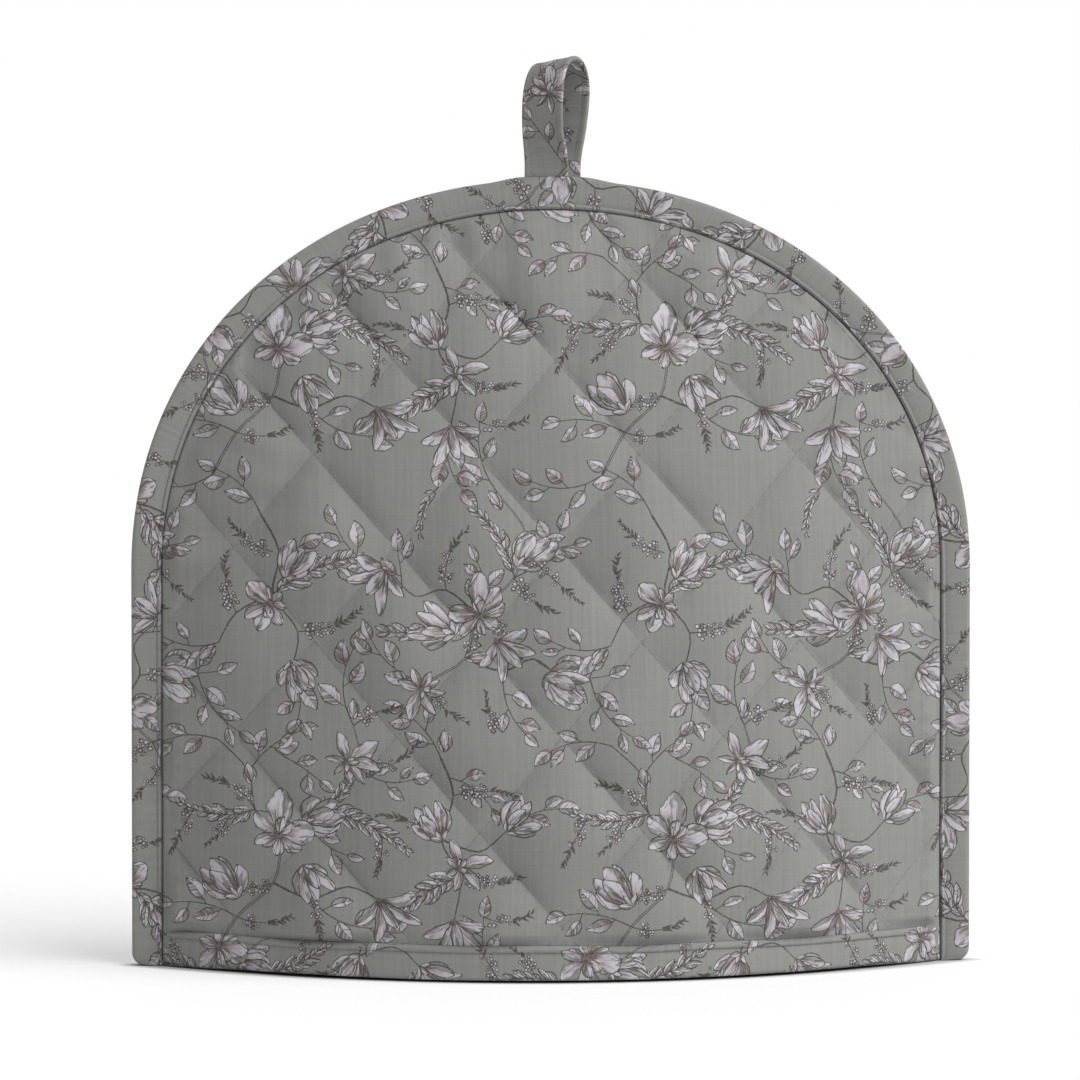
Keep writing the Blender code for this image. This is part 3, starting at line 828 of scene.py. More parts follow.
class ClothPrint:
    """The drawing repeated over the cloth, and the lines where its tones meet."""

    SHORT = 0.07       # millimetres: shorter pieces of a line are closed up
    STRAIGHT = 0.03    # a point this near to the line between its neighbours is left out
    MARGIN = complex(12, 12)    # of the drawing taken in round one repeat

    def __init__(self, line, seed):
        drawing = Drawing(line, seed)
        drawing.grow()
        self.shapes = drawing.shapes
        self.low, self.high = np.array([box_of(shape.points) for shape in self.shapes]).T
        self.knots, self.links = self.tone_lines()

    @staticmethod
    def shifts(low, high):
        """Where the repeats that may reach into a box of the cloth begin."""
        for i in range(math.floor(low.real / REPEAT.real) - 1, math.ceil(high.real / REPEAT.real) + 1):
            for j in range(math.floor(low.imag / REPEAT.imag) - 1, math.ceil(high.imag / REPEAT.imag) + 1):
                yield complex(i * REPEAT.real, j * REPEAT.imag)

    def laid(self, low, high):
        """The shapes in a box of the cloth, in the order in which they are drawn."""
        found = []
        for shift in self.shifts(low, high):
            touching = overlap(self.low + shift, self.high + shift, low, high)
            found += [(number, shift) for number in np.flatnonzero(touching)]
        found.sort(key=lambda item: item[0])
        laid = []
        for number, shift in found:
            shape = self.shapes[number]
            laid.append(shape._replace(points=shape.points + shift, heart=shape.heart + shift))
        return laid

    def tone_lines(self):
        """Points of one repeat, and pairs of them that part two tones."""
        shapes = self.laid(-self.MARGIN, REPEAT + self.MARGIN)
        points, edges = [], []
        for shape in shapes:
            start, count = len(points), len(shape.points)
            points.extend(shape.points)
            edges.extend((start + i, start + (i + 1) % count) for i in range(count))
        knots, _, triangles, *_ = delaunay_2d_cdt(flat_points(points), edges, [], 0, 1e-4)
        knots = np.array([complex(*knot) for knot in knots])
        triangles = np.array(triangles)
        names = sorted(TONES)
        tone_of = np.array([names.index(shape.tone) for shape in shapes] + [-1])
        tones = tone_of[top_shape(knots[triangles].mean(1), shapes)]
        sides, owner = sides_of(triangles)
        order = np.lexsort((sides[:, 1], sides[:, 0]))
        sides, tones = sides[order], tones[owner[order]]
        parting = (sides[1:] == sides[:-1]).all(1) & (tones[1:] != tones[:-1])
        links = sides[1:][parting]
        middle = knots[links].mean(1)
        inside = (middle.real >= 0) & (middle.real < REPEAT.real)
        inside &= (middle.imag >= 0) & (middle.imag < REPEAT.imag)
        return self.thinned(knots, links[inside])

    def thinned(self, knots, links):
        """The same lines without their shortest pieces and needless points."""
        same = list(range(len(knots)))

        def first(index):
            while same[index] != index:
                index = same[index]
            return index

        for a, b in links[np.abs(knots[links[:, 0]] - knots[links[:, 1]]) < self.SHORT]:
            same[first(a)] = first(b)
        near = {}
        for a, b in links:
            a, b = first(a), first(b)
            if a != b:
                near.setdefault(a, set()).add(b)
                near.setdefault(b, set()).add(a)
        for index in list(near):
            if len(near[index]) != 2:
                continue
            a, b = near[index]
            run = knots[b] - knots[a]
            off = abs(((knots[index] - knots[a]) * run.conjugate()).imag) / (abs(run) or 1)
            if off < self.STRAIGHT and b not in near[a]:
                near[a].remove(index)
                near[b].remove(index)
                near[a].add(b)
                near[b].add(a)
                near[index] = set()
        kept = sorted({(min(a, b), max(a, b)) for a, others in near.items() for b in others})
        return knots, np.array(kept)

    def lines(self, low, high):
        """Points and links of the tone lines in a box of the cloth."""
        points, links = [], []
        for shift in self.shifts(low, high):
            knots = self.knots + shift
            touching = overlap(*box_of(knots[self.links]), low, high)
            used, numbers = np.unique(self.links[touching], return_inverse=True)
            links.append(numbers.reshape(-1, 2) + sum(map(len, points)))
            points.append(knots[used])
        return np.concatenate(points), np.concatenate(links)

    def ink(self, points, triangles):
        """For each corner of each triangle: its three inks, and its place on the map of the veins."""
        corners = points[triangles]
        low, high = box_of(points)
        shapes = self.laid(low, high) + [Shape(None, "bare", 0j, 0.0, 0j, False)]
        top = top_shape(corners.mean(1), shapes[:-1])
        tones = np.array([TONES[shape.tone] for shape in shapes])[top]
        hearts, reaches, ways, ribbed = (np.array([getattr(shape, key) for shape in shapes])[top]
                                         for key in ("heart", "reach", "way", "ribbed"))
        out = corners - hearts[:, None]
        inks = np.ones((len(triangles), 3, 4))
        inks[:, :, :3] = tones[:, None, :]
        blush = smooth(1 - np.abs(out) / np.maximum(reaches, 1e-3)[:, None])
        inks[:, :, 1] = np.maximum(inks[:, :, 1], np.where(reaches[:, None] > 0, blush, 0.0))
        along = out * ways.conjugate()[:, None]
        fan = VEIN_FAN * along.imag / np.maximum(along.real + VEIN_FAN / 2, 1.0)
        slant = along.real - np.abs(along.imag)
        veins = np.stack([np.where(ribbed[:, None], slant, fan), along.real], axis=2)
        veins += np.stack([hearts.real, hearts.imag], axis=1)[:, None] * VEIN_SPREAD
        veins[ways == 0] = 0.0
        return inks, veins


# ---------------------------------------------------------------- flat nets

class Net:
    """Points and lines of a flat piece, in millimetres, to be filled with triangles."""

    def __init__(self, outline):
        self.outline = list(outline)
        self.points = list(outline)
        self.links = []

    def line(self, points):
        """Adds points that are joined in a row."""
        start = len(self.points)
        self.points.extend(points)
        self.links.extend((i, i + 1) for i in range(start, len(self.points) - 1))

    def web(self, points, links):
        """Adds points that are joined by the given links."""
        start = len(self.points)
        self.points.extend(points)
        self.links.extend((a + start, b + start) for a, b in links.tolist())

    def fill(self):
        """Points and triangles inside the outline, and the number that each outline point has got."""
        face = list(range(len(self.outline)))
        places, _, triangles, origins, _, faces = delaunay_2d_cdt(
            flat_points(self.points), self.links, [face], 0, SNAP)
        inside = [triangle for triangle, sources in zip(triangles, faces) if sources]
        used, numbers = np.unique(inside, return_inverse=True)
        points = np.array([complex(*places[index]) for index in used])
        number_of = {int(index): place for place, index in enumerate(used)}
        edge = [0] * len(self.outline)
        for index, sources in enumerate(origins):
            for source in sources:
                if source < len(edge):
                    edge[source] = number_of[index]
        return points, numbers.reshape(-1, 3), edge


def rims(triangles):
    """The numbers of the points round each open edge, in order."""
    directed = {(t[i], t[(i + 1) % 3]) for t in triangles.tolist() for i in range(3)}
    after = {a: b for a, b in directed if (b, a) not in directed}
    loops = []
    while after:
        loop = [min(after)]
        while loop[-1] in after:
            loop.append(after.pop(loop[-1]))
        loops.append(loop[:-1])
    return loops


def spaced(first, last, step):
    """Evenly spaced numbers, with the two ends, about `step` apart."""
    return np.linspace(first, last, max(2, math.ceil(abs(last - first) / step) + 1))


# ---------------------------------------------------------------- meshes

def add_object(name, data):
    """A new object at the origin of the scene."""
    made = bpy.data.objects.new(name, data)
    bpy.context.scene.collection.objects.link(made)
    return made


def make_mesh(name, points, faces, normals, corner_colours, maps, cloth, inside_out):
    """A mesh object. Colours and maps have a row for each corner of the faces, in order."""
    if inside_out:
        ends = np.cumsum([len(face) for face in faces])
        starts = np.concatenate([[0], ends[:-1]])
        turned = np.concatenate([np.arange(end - 1, start - 1, -1) for start, end in zip(starts, ends)])
        faces = [face[::-1] for face in faces]
        corner_colours = corner_colours[turned]
        maps = {label: values[turned] for label, values in maps.items()}
    mesh = bpy.data.meshes.new(name)
    mesh.from_pydata(np.asarray(points).tolist(), [], faces)
    mesh.update()
    for label, values in maps.items():
        mesh.uv_layers.new(name=label).uv.foreach_set("vector", values.astype(np.float32).ravel())
    layer = mesh.color_attributes.new("print", "FLOAT_COLOR", "CORNER")
    layer.data.foreach_set("color", corner_colours.astype(np.float32).ravel())
    mesh.materials.append(bpy.data.materials[cloth])
    mesh.shade_smooth()
    mesh.normals_split_custom_set_from_vertices(normals.tolist())
    return add_object(name, mesh)


def declare(piece, slot, *nodes):
    """Attaches a piece to the root body and hides the solids that it stands in for."""
    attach(piece, "root")
    if nodes:
        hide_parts(*nodes)


# ---------------------------------------------------------------- panels

def bound_edge(step=STEP):
    """Matching points (x, z) on the arch binding's inner and outer edge, right to left."""
    right = []
    for turn in np.radians(np.arange(0, 91, 10)):
        z = CORNER * (1 - math.cos(turn))
        right.append(((HALF - BINDING, z), (HALF - CORNER * (1 - math.sin(turn)), z)))
    for z in spaced(CORNER, SHOULDER, step)[1:]:
        right.append(((HALF - BINDING, z), (HALF, z)))
    for turn in arch_turns(step):
        across = max(math.cos(turn), 0.0) ** (2 / ARCH_POWER)
        up = math.sin(turn) ** (2 / ARCH_POWER)
        inner, outer = [((HALF - inset) * across, SHOULDER + (ARCH_HEIGHT - inset - SHOULDER) * up)
                        for inset in (BINDING, 0.0)]
        right.append((inner, (outer[0], outer[1] + crest_pull(outer[0]))))
    left = [((-inner[0], inner[1]), (-outer[0], outer[1])) for inner, outer in right[-2::-1]]
    return np.array(right + left)


def crest_pull(x):
    """How far the hanging loop draws the arch's fold up."""
    return CREST_PULL * (1 - smooth((np.abs(x) - PULL_FLAT) / PULL_REACH))


def arch_turns(step):
    """Turns along the arch that are evenly spaced on its outer edge, up to the crest."""
    turns = np.linspace(0, math.pi / 2, 400)
    x = HALF * np.maximum(np.cos(turns), 0) ** (2 / ARCH_POWER)
    z = (ARCH_HEIGHT - SHOULDER) * np.sin(turns) ** (2 / ARCH_POWER)
    run = np.concatenate([[0], np.cumsum(np.hypot(np.diff(x), np.diff(z)))])
    return np.interp(spaced(0, run[-1], step)[1:], run, turns)


def across_edge(pairs, distance):
    """Points `distance` out from the binding's inner edge, measured on its face."""
    return pairs[:, 0] + (pairs[:, 1] - pairs[:, 0]) * (distance / BINDING)


def panel_outline():
    """The raw edge of a panel, inside its bindings, in millimetres."""
    pairs = bound_edge()
    pairs = pairs[pairs[:, 0, 1] > PANEL_FOOT - GAP / 2]
    edge = across_edge(pairs, BINDING - CLOTH - GAP)
    end = HALF - BINDING - GAP
    foot = spaced(-end, end, STEP)
    points = [complex(x, z) for x, z in edge] + [complex(x, PANEL_FOOT) for x in foot]
    return [point / MM for point in points]


def quilted_net(panelling, outline, lattice, creased):
    """A panel's net of points between the quilting lines and, if creased, an edge along each."""
    net = Net(outline)
    most = panelling.most
    steps = np.array([row + part for row in range(-most, most) for part in lattice])
    falling, rising = np.meshgrid(steps, steps)
    x, z = panelling.point(falling, rising)
    on_line = (falling == np.round(falling)) | (rising == np.round(rising))
    held = (z > PANEL_FOOT + GAP) & (edge_depth(x, z) > -NET_UNDER) & ~(on_line & creased)
    net.points.extend((x + 1j * z)[held] / MM)
    if not creased:
        return net
    for x, z in panelling.lines(steps):
        near = (np.abs(x) < HALF) & (z > -NET_BELOW) & (z < TOP)
        if near.sum() > 1:
            net.line((x + 1j * z)[near] / MM)
    pairs = bound_edge()
    pairs = pairs[pairs[:, 0, 1] > PANEL_FOOT + GAP]
    level = spaced(-HALF + BINDING, HALF - BINDING, STEP)
    for inset in BESIDE_BINDING:
        net.line([complex(x, z) / MM for x, z in across_edge(pairs, -inset)])
        net.line([complex(x, HEM + inset) / MM for x in level])
    return net


def face_normals(height, x, z, facing):
    """Normals of a panel's face from the formula of its height."""
    step = NORMAL_STEP
    across = (height(x + step, z) - height(x - step, z)) / (2 * step)
    up = (height(x, z + step) - height(x, z - step)) / (2 * step)
    normals = np.stack([-across, np.ones_like(x), -up], axis=1)
    normals /= np.linalg.norm(normals, axis=1, keepdims=True)
    return normals * (1, facing, 1)


def make_panel(name, facing, cloth_print, shift):
    """A quilted panel: facing is -1 for the one towards -Y, and 1 for the other.

    Its print starts at `shift`. The outside carries the print; the inside has the plain back of it.
    """
    panelling = Panelling(bpy.context.scene.cosy_quilting, facing)
    net = quilted_net(panelling, panel_outline(), LATTICE, creased=True)
    low, high = complex(-HALF, 0) / MM, complex(HALF, TOP) / MM
    points, links = cloth_print.lines(low + shift, high + shift)
    net.web(points - shift, links)
    outer, outer_faces, _ = net.fill()
    loop = rims(outer_faces)[0]
    inner, inner_faces, edge = quilted_net(panelling, outer[loop], LATTICE_INSIDE, creased=False).fill()
    count = len(outer)
    walls = []
    for place, start in enumerate(loop):
        after = (place + 1) % len(loop)
        walls.append((loop[after], start, count + edge[place], count + edge[after]))

    flat = np.concatenate([outer, inner]) * MM
    x, z = flat.real, flat.imag
    outside = np.arange(len(flat)) < count
    y = np.where(outside, panelling.outside(x, z), panelling.inside(x, z))
    normals = np.where(outside[:, None], face_normals(panelling.outside, x, z, facing),
                       -face_normals(panelling.inside, x, z, facing))
    faces = outer_faces.tolist() + (inner_faces[:, ::-1] + count).tolist() + walls
    corners = np.array([index for face in faces for index in face])
    printed, rim = 3 * len(outer_faces), -4 * len(walls)
    inks, vein_map = cloth_print.ink(outer + shift, outer_faces)
    colours, veins = np.zeros((len(corners), 4)), np.zeros((len(corners), 2))
    colours[:printed] = inks.reshape(-1, 4)
    veins[:printed] = vein_map.reshape(-1, 2)
    baked = panel_bake_map(x, z, outside)[corners]     # the rim lies on the edge of the inside's map
    baked[rim:] = baked[rim:].reshape(-1, 4, 2)[:, [3, 2, 2, 3]].reshape(-1, 2)
    maps = {"OFBake": baked, "cloth": np.stack([x, z], axis=1)[corners], "veins": veins}
    place = np.stack([x, facing * y, z], axis=1)
    return make_mesh(name, place, faces, normals, colours, maps, "panel cloth", inside_out=facing > 0)


def panel_bake_map(x, z, outside):
    """Where each point lies on the panel's map: the outside large, the inside small above it."""
    scale = np.where(outside, OUTSIDE_SCALE, INSIDE_SCALE)
    start = np.where(outside, PANEL_MARGIN, INSIDE_START)
    return np.stack([PANEL_MARGIN + (x + HALF) * scale, start + z * scale], axis=1)


def quilting_lines(panelling, facing, lift):
    """Places along every quilting line, on the outside and the inside of a panel."""
    lines = []
    for x, z in panelling.lines(np.arange(-panelling.most, panelling.most, LINE_STEP)):
        shown = (edge_depth(x, z) > SEWN_FROM) & (z > HEM + SEWN_FROM)
        for height, way, open_by in ((panelling.outside, 1, 0.0), (panelling.inside, -1, PARTED)):
            sewn = shown & (bulge(x, z) >= open_by)
            if sewn.sum() > 2:
                y = height(x[sewn], z[sewn]) + way * lift
                lines.append(np.stack([x[sewn], facing * y, z[sewn]], axis=1))
    return lines


# ---------------------------------------------------------------- strips

class Strip:
    """A folded strip: sections set along it, each a closed run of places round its thickness.

    `along` and `around` are the cloth's own measures in millimetres. The first and last place of
    a section are the same one. The first and last `hidden` of them lie where no print shows, and
    stitches lie in the `grooves`, which are numbers of places in a section.
    """

    def __init__(self, along, around, places, hidden, grooves):
        self.along = along
        self.around = around
        self.places = places
        self.shown = (around[hidden], around[-1 - hidden])
        self.grooves = grooves
        forward = np.gradient(places, axis=0)[:, :-1]
        ring = places[:, :-1]
        sideways = np.roll(ring, -1, axis=1) - np.roll(ring, 1, axis=1)
        facing = np.cross(ring, np.roll(ring, -1, axis=1)).sum(1)
        self.inside_out = (facing * forward.mean(1)).sum() > 0
        normals = np.cross(forward, sideways) * (-1 if self.inside_out else 1)
        normals /= np.maximum(np.linalg.norm(normals, axis=2, keepdims=True), 1e-12)
        self.normals = np.concatenate([normals, normals[:, :1]], axis=1)

    def lay(self, values, points):
        """Values of the grid at flat points."""
        i = np.clip(np.searchsorted(self.along, points.real, side="right") - 1, 0, len(self.along) - 2)
        j = np.clip(np.searchsorted(self.around, points.imag, side="right") - 1, 0, len(self.around) - 2)
        a = ((points.real - self.along[i]) / (self.along[i + 1] - self.along[i]))[:, None]
        b = ((points.imag - self.around[j]) / (self.around[j + 1] - self.around[j]))[:, None]
        low = values[i, j] * (1 - a) + values[i + 1, j] * a
        high = values[i, j + 1] * (1 - a) + values[i + 1, j + 1] * a
        return low * (1 - b) + high * b

    def seams(self, lift):
        """Lines a little over the bottom of each groove, for its stitches."""
        lines = []
        for groove in self.grooves:
            line = (self.places[:, groove] + self.normals[:, groove] * lift)[1:-1]
            lines.append(line[line[:, 2] > CLOTH])
        return lines

    def outline(self):
        length, height = self.along[-1], self.around[-1]
        points = [complex(s, 0) for s in self.along]
        points += [complex(length, t) for t in self.around[1:]]
        points += [complex(s, height) for s in self.along[-2::-1]]
        return points + [complex(0, t) for t in self.around[-2:0:-1]]


def make_strip(name, strip, cloth_print, shift, cloth, rows=1, footed=False):
    """A printed strip as one closed mesh. `rows` is how often its map is broken to fit a square."""
    net = Net(strip.outline())
    for t in strip.around[1:-1]:
        net.line([complex(s, t) for s in strip.along])
    first, last = strip.shown
    low, high = complex(0, first), complex(strip.along[-1], last)
    points, links = cloth_print.lines(low + shift, high + shift)
    points = points - shift
    inside = (points.imag > first + BARE_EDGE) & (points.imag < last - BARE_EDGE)
    net.web(points, links[inside[links].all(1)])
    flat, triangles, edge = net.fill()
    corners = flat[triangles]
    middle = corners.mean(1)
    colours, veins = cloth_print.ink(flat + shift, triangles)
    colours[(middle.imag < first) | (middle.imag > last), :, :3] = 0.0
    part = strip.along[-1] / rows
    row = np.clip(np.floor(middle.real / part), 0, rows - 1)[:, None]
    across = STRIP_MARGIN + STRIP_PART * (corners.real - row * part) / part
    up = (row + STRIP_MARGIN + STRIP_PART * corners.imag / strip.around[-1]) / rows

    count = len(strip.along)
    top = count + len(strip.around) - 2
    joined = np.arange(len(flat))
    for k in range(count):
        joined[edge[top + k]] = edge[count - 1 - k]
    triangles = joined[triangles]
    caps = []
    for loop in rims(triangles):
        loop = loop[::-1]
        if footed:
            outer = [first + TOUCH < flat[index].imag < last - TOUCH for index in loop]
            start = next(k for k in range(len(loop)) if outer[k] and not outer[k - 1])
            loop, outer = loop[start:] + loop[:start], sum(outer)
            caps += [loop[:outer], loop[outer:], [loop[outer - 1], loop[outer], loop[-1], loop[0]]]
        else:
            caps.append(loop)
    blank = sum(map(len, caps))
    colours = np.concatenate([colours.reshape(-1, 4), np.zeros((blank, 4))])
    cloth_map = np.stack([corners.real, corners.imag], axis=2).reshape(-1, 2) * MM
    maps = {"OFBake": np.stack([across, up], axis=2).reshape(-1, 2), "cloth": cloth_map,
            "veins": veins.reshape(-1, 2)}
    corner = np.full((blank, 2), MAP_CORNER)
    maps = {label: np.concatenate([values, corner]) for label, values in maps.items()}
    faces = triangles.tolist() + caps
    used, numbers = np.unique([index for face in faces for index in face], return_inverse=True)
    ends = np.cumsum([len(face) for face in faces])[:-1]
    faces = [face.tolist() for face in np.split(numbers, ends)]
    places, normals = strip.lay(strip.places, flat[used]), strip.lay(strip.normals, flat[used])
    return make_mesh(name, places, faces, normals, colours, maps, cloth, strip.inside_out)


def running_length(places):
    """Distance along a line of places, in millimetres, from its first one."""
    steps = np.linalg.norm(np.diff(places, axis=0), axis=1)
    return np.concatenate([[0.0], np.cumsum(steps)]) / MM


def fold(centre, radius, first, last, steps):
    """Points of an arc, its turns in degrees."""
    return [(centre[0] + radius * math.cos(turn), centre[1] + radius * math.sin(turn))
            for turn in np.radians(np.linspace(first, last, steps))]


def lip(width, face, groove, proud=LIP_RISE):
    """A stitched lip from its outer edge, and the groove where the stitches pull it in."""
    points = []
    for turn in np.radians(np.linspace(10, 170, LIP_POINTS)):
        part = (1 - math.cos(turn)) / 2
        rise = proud * math.sin(turn) ** 0.7 - LIP_DROP * (1 - float(smooth(part * 2)))
        points.append((width * part, face + rise))
    return points + [(width + past, face - groove * part) for past, part in GROOVE_PLACES]


def arch_strip(settings):
    """The arch binding, from the table on the right over the crest to the table on the left."""
    half = [(BINDING - CLOTH, 0.0), (BINDING - CLOTH, CHANNEL), (FACE_PLACES[0], CHANNEL),
            (0.0, CHANNEL - SEATED)]
    half += lip(settings.arch_lip, FACE, settings.groove, settings.arch_rise)
    half += [(out, FACE + FACE_FULL) for out in FACE_PLACES]
    half += fold((BINDING - EDGE_ROUND, FACE - EDGE_ROUND), EDGE_ROUND, 90, 0, 6)
    half = half[:4] + [(out, y * (1 - settings.lean / FACE * out / BINDING)) for out, y in half[4:]]
    profile = np.array(half + [(BINDING, 0.0)] + [(out, -y) for out, y in half[::-1]])
    pairs = bound_edge(STRIP_STEP)
    middle = across_edge(pairs, BINDING / 2)
    along = running_length(middle)
    around = running_length(profile)
    foot = int(np.argmax(pairs[:, 0, 1] >= PANEL_FOOT - GAP))
    last = len(pairs) - 1
    places = []
    crest = along[last // 2]
    for row, s in enumerate(along):
        rung = min(row, last - row)
        lined = pairs[min(max(row, foot), last - foot)]
        waver = settings.waver * ripple(s, 0.0, WAVER_REACH, 3)
        past_join = crest - s - JOIN_PLACE
        section = []
        for out, y in profile:
            channel = abs(y) <= CHANNEL and out < BINDING - CLOTH / 2
            sway = waver * (1 - out / BINDING) * (not channel)
            base = lined if channel else pairs[row]
            x, z = base[0] + (base[1] - base[0]) * ((out + sway) / BINDING)
            if channel and rung < foot:
                z = PANEL_FOOT - GAP
            from_join = abs(past_join - (out / BINDING - 0.5) * JOIN_SLANT)
            over = settings.join * smooth(1 - from_join / JOIN_HALF) * (y < -CHANNEL)
            section.append((x, y - over, z))
        places.append(section)
    groove = 4 + LIP_POINTS
    return Strip(along, around, np.array(places), 3, (groove, len(profile) - 1 - groove))


def hem_strip(settings, facing):
    """A hem binding, from one bottom corner to the other."""
    near, far = HEM_NEAR, HEM_FAR
    front = [(y, HEM_EDGE - out) for out, y in lip(settings.hem_lip, far, settings.groove)]
    low = fold((far - settings.hem_round, settings.hem_round), settings.hem_round, 0, -90, 6)
    profile = [(near, CLOTH), (near, HEM / 2), (near - SEATED, HEM_EDGE)]
    profile += front + [(far, HEM_PLACE)] + low + [(-y, z) for y, z in low[::-1]]
    profile += [(-far, None), (-near, None), (-near, CLOTH), (near, CLOTH)]    # None: its inner edge
    end = HALF - BINDING - GAP
    stations = spaced(-end, end, STRIP_STEP)
    places = []
    for x in stations:
        opened = smooth((bulge(x, 0.0) - PARTED) / PARTING)
        inner_top = PANEL_FOOT - GAP + (HEM - PANEL_FOOT + GAP) * opened
        waver = settings.waver * ripple(x / MM, 0.0, WAVER_REACH, 5 + facing)
        lift = settings.lift * smooth(1 + ripple(x / MM, 0.0, LIFT_REACH, 8 + facing))
        lift *= smooth((end - abs(x)) / LIFT_END)
        section = []
        for offset, z in profile:
            z = inner_top if z is None else z
            z = z + waver * smooth((z - HEM / 2) / 0.002) * (offset > 0)
            z = z + lift * (1 - smooth(z / (HEM / 2)))
            offset = offset + settings.flare * (0.5 - z / HEM) * (offset > near)
            y = SEAM_MID + bulge(x, z) + offset * slope(x, z)
            section.append((x, facing * max(y, GAP if offset == -near else GAP / 2), z))
        places.append(section)
    places = np.array(places)
    around = running_length(places[len(stations) // 2])
    along = running_length(places[:, len(front)])
    return Strip(along, around, places, 2, (3 + LIP_POINTS,))


def fold_height(x, y):
    """Height of the arch binding's outer fold near the crest."""
    crown = (1 - (np.abs(x) / HALF) ** ARCH_POWER) ** (1 / ARCH_POWER)
    crown = SHOULDER + (ARCH_HEIGHT - SHOULDER) * crown + crest_pull(x)
    over = np.clip(np.abs(y) - (FACE - EDGE_ROUND), 0, EDGE_ROUND)
    return crown - EDGE_ROUND + np.sqrt(EDGE_ROUND ** 2 - over ** 2)


def loop_middle(turn):
    """A teardrop: its legs meet at turn 0 and its top is at turn pi."""
    height = ((1 - math.cos(turn)) / 2) ** LOOP_FULL
    depth = -LOOP_SPREAD * math.sin(turn) * math.sin(turn / 2) ** 1.5 / TEARDROP_WIDEST
    low = ((1 - math.cos(LOOP_START)) / 2) ** LOOP_FULL
    rise = (height - low) / (1 - low)
    yaw = LOOP_TURN * float(smooth(rise / LOOP_TURNED))
    roll = LOOP_ROLL * float(smooth((rise - LOOP_ROLLING) / (1 - LOOP_ROLLING)))
    x = LOOP_LEAN * float(smooth(rise)) - LOOP_SKEW / 2 * math.cos(turn / 2)
    top = (LOOP_HEIGHT - GAP - STRAP / 2 - STRAP_WIDTH / 2 * math.sin(LOOP_ROLL)) * rise
    return Vector((x - depth * math.sin(yaw), depth * math.cos(yaw), top + TOP + GAP)), yaw, roll


def loop_strip(settings):
    """The folded strap of the hanging loop, from its front end over to its back end."""
    half_wide, half_thick = STRAP_WIDTH / 2, STRAP / 2
    start, bottom, end = [half_wide - place for place in STRAP_GROOVE]
    groove = settings.groove * 0.7
    side = [(start, half_thick), (bottom, half_thick - groove), (end, half_thick - STRAP_DIP)]
    front = [(-across, through) for across, through in side] + [(0.0, half_thick)] + side[::-1]
    right = fold((half_wide - STRAP_ROUND, half_thick - STRAP_ROUND), STRAP_ROUND, 90, 0, 4)
    right += [(across, -through) for across, through in right[::-1]]
    left = [(-across, -through) for across, through in right]
    back = [(-across, -through) for across, through in front]
    profile = [(-half_wide, 0.0)] + left[4:] + front + right + back + left[:4] + [(-half_wide, 0.0)]
    grooves = [place for place, point in enumerate(profile) if abs(point[0]) == bottom]
    places = []
    for step in range(LOOP_STEPS + 1):
        turn = LOOP_START + (math.tau - 2 * LOOP_START) * step / LOOP_STEPS
        place, yaw, roll = loop_middle(turn)
        across = Vector((math.cos(yaw), math.sin(yaw), 0))
        run = loop_middle(turn + 0.01)[0] - loop_middle(turn - 0.01)[0]
        if step in (0, LOOP_STEPS):
            run = Vector((0, 0, 1 if step == 0 else -1))
        through = across.cross(run).normalized()
        wide = across * math.cos(roll) + through * math.sin(roll)
        thick = through * math.cos(roll) - across * math.sin(roll)
        places.append([place + wide * a + thick * b for a, b in profile])
    places = np.array(places)
    for leg in (places[0], places[-1]):
        leg[:, 2] = fold_height(leg[:, 0], leg[:, 1]) + GAP / 4
    along = running_length(places[:, len(profile) // 4])
    around = running_length(places[LOOP_STEPS // 2])
    return Strip(along, around, places, 0, grooves)


# ---------------------------------------------------------------- stitches

STITCH_TREE = "Stitches along lines"


def stitch_tree():
    """Geometry Nodes that lay a stitch at even steps along every line of a mesh."""
    tree = bpy.data.node_groups.new(STITCH_TREE, "GeometryNodeTree")
    face = tree.interface
    face.new_socket("Geometry", in_out="INPUT", socket_type="NodeSocketGeometry")
    for label in ("Pitch", "Length", "Thread"):
        face.new_socket(label, in_out="INPUT", socket_type="NodeSocketFloat").subtype = "DISTANCE"
    face.new_socket("Material", in_out="INPUT", socket_type="NodeSocketMaterial")
    face.new_socket("Geometry", in_out="OUTPUT", socket_type="NodeSocketGeometry")

    def node(kind, **settings):
        made = tree.nodes.new(kind)
        for key, value in settings.items():
            setattr(made, key, value)
        return made

    given = node("NodeGroupInput")
    lines = node("GeometryNodeMeshToCurve")
    evenly = node("GeometryNodeResampleCurve", mode="LENGTH")
    tangent = node("GeometryNodeInputTangent")
    turn = node("FunctionNodeAlignRotationToVector", axis="X")
    bead = node("GeometryNodeMeshUVSphere")
    bead.inputs["Segments"].default_value = 6
    bead.inputs["Rings"].default_value = 4
    bead.inputs["Radius"].default_value = 0.5
    smoothed = node("GeometryNodeSetShadeSmooth")
    shape = node("ShaderNodeCombineXYZ")
    laid = node("GeometryNodeInstanceOnPoints")
    real = node("GeometryNodeRealizeInstances")
    thread = node("GeometryNodeSetMaterial")
    result = node("NodeGroupOutput")
    for source, output, target, entry in (
            (given, "Geometry", lines, "Mesh"), (lines, "Curve", evenly, "Curve"),
            (given, "Pitch", evenly, "Length"), (evenly, "Curve", laid, "Points"),
            (bead, "Mesh", smoothed, "Geometry"), (smoothed, "Geometry", laid, "Instance"),
            (tangent, "Tangent", turn, "Vector"), (turn, "Rotation", laid, "Rotation"),
            (given, "Length", shape, "X"), (given, "Thread", shape, "Y"),
            (given, "Thread", shape, "Z"), (shape, "Vector", laid, "Scale"),
            (laid, "Instances", real, "Geometry"), (real, "Geometry", thread, "Geometry"),
            (given, "Material", thread, "Material"), (thread, "Geometry", result, "Geometry")):
        tree.links.new(source.outputs[output], target.inputs[entry])
    return tree


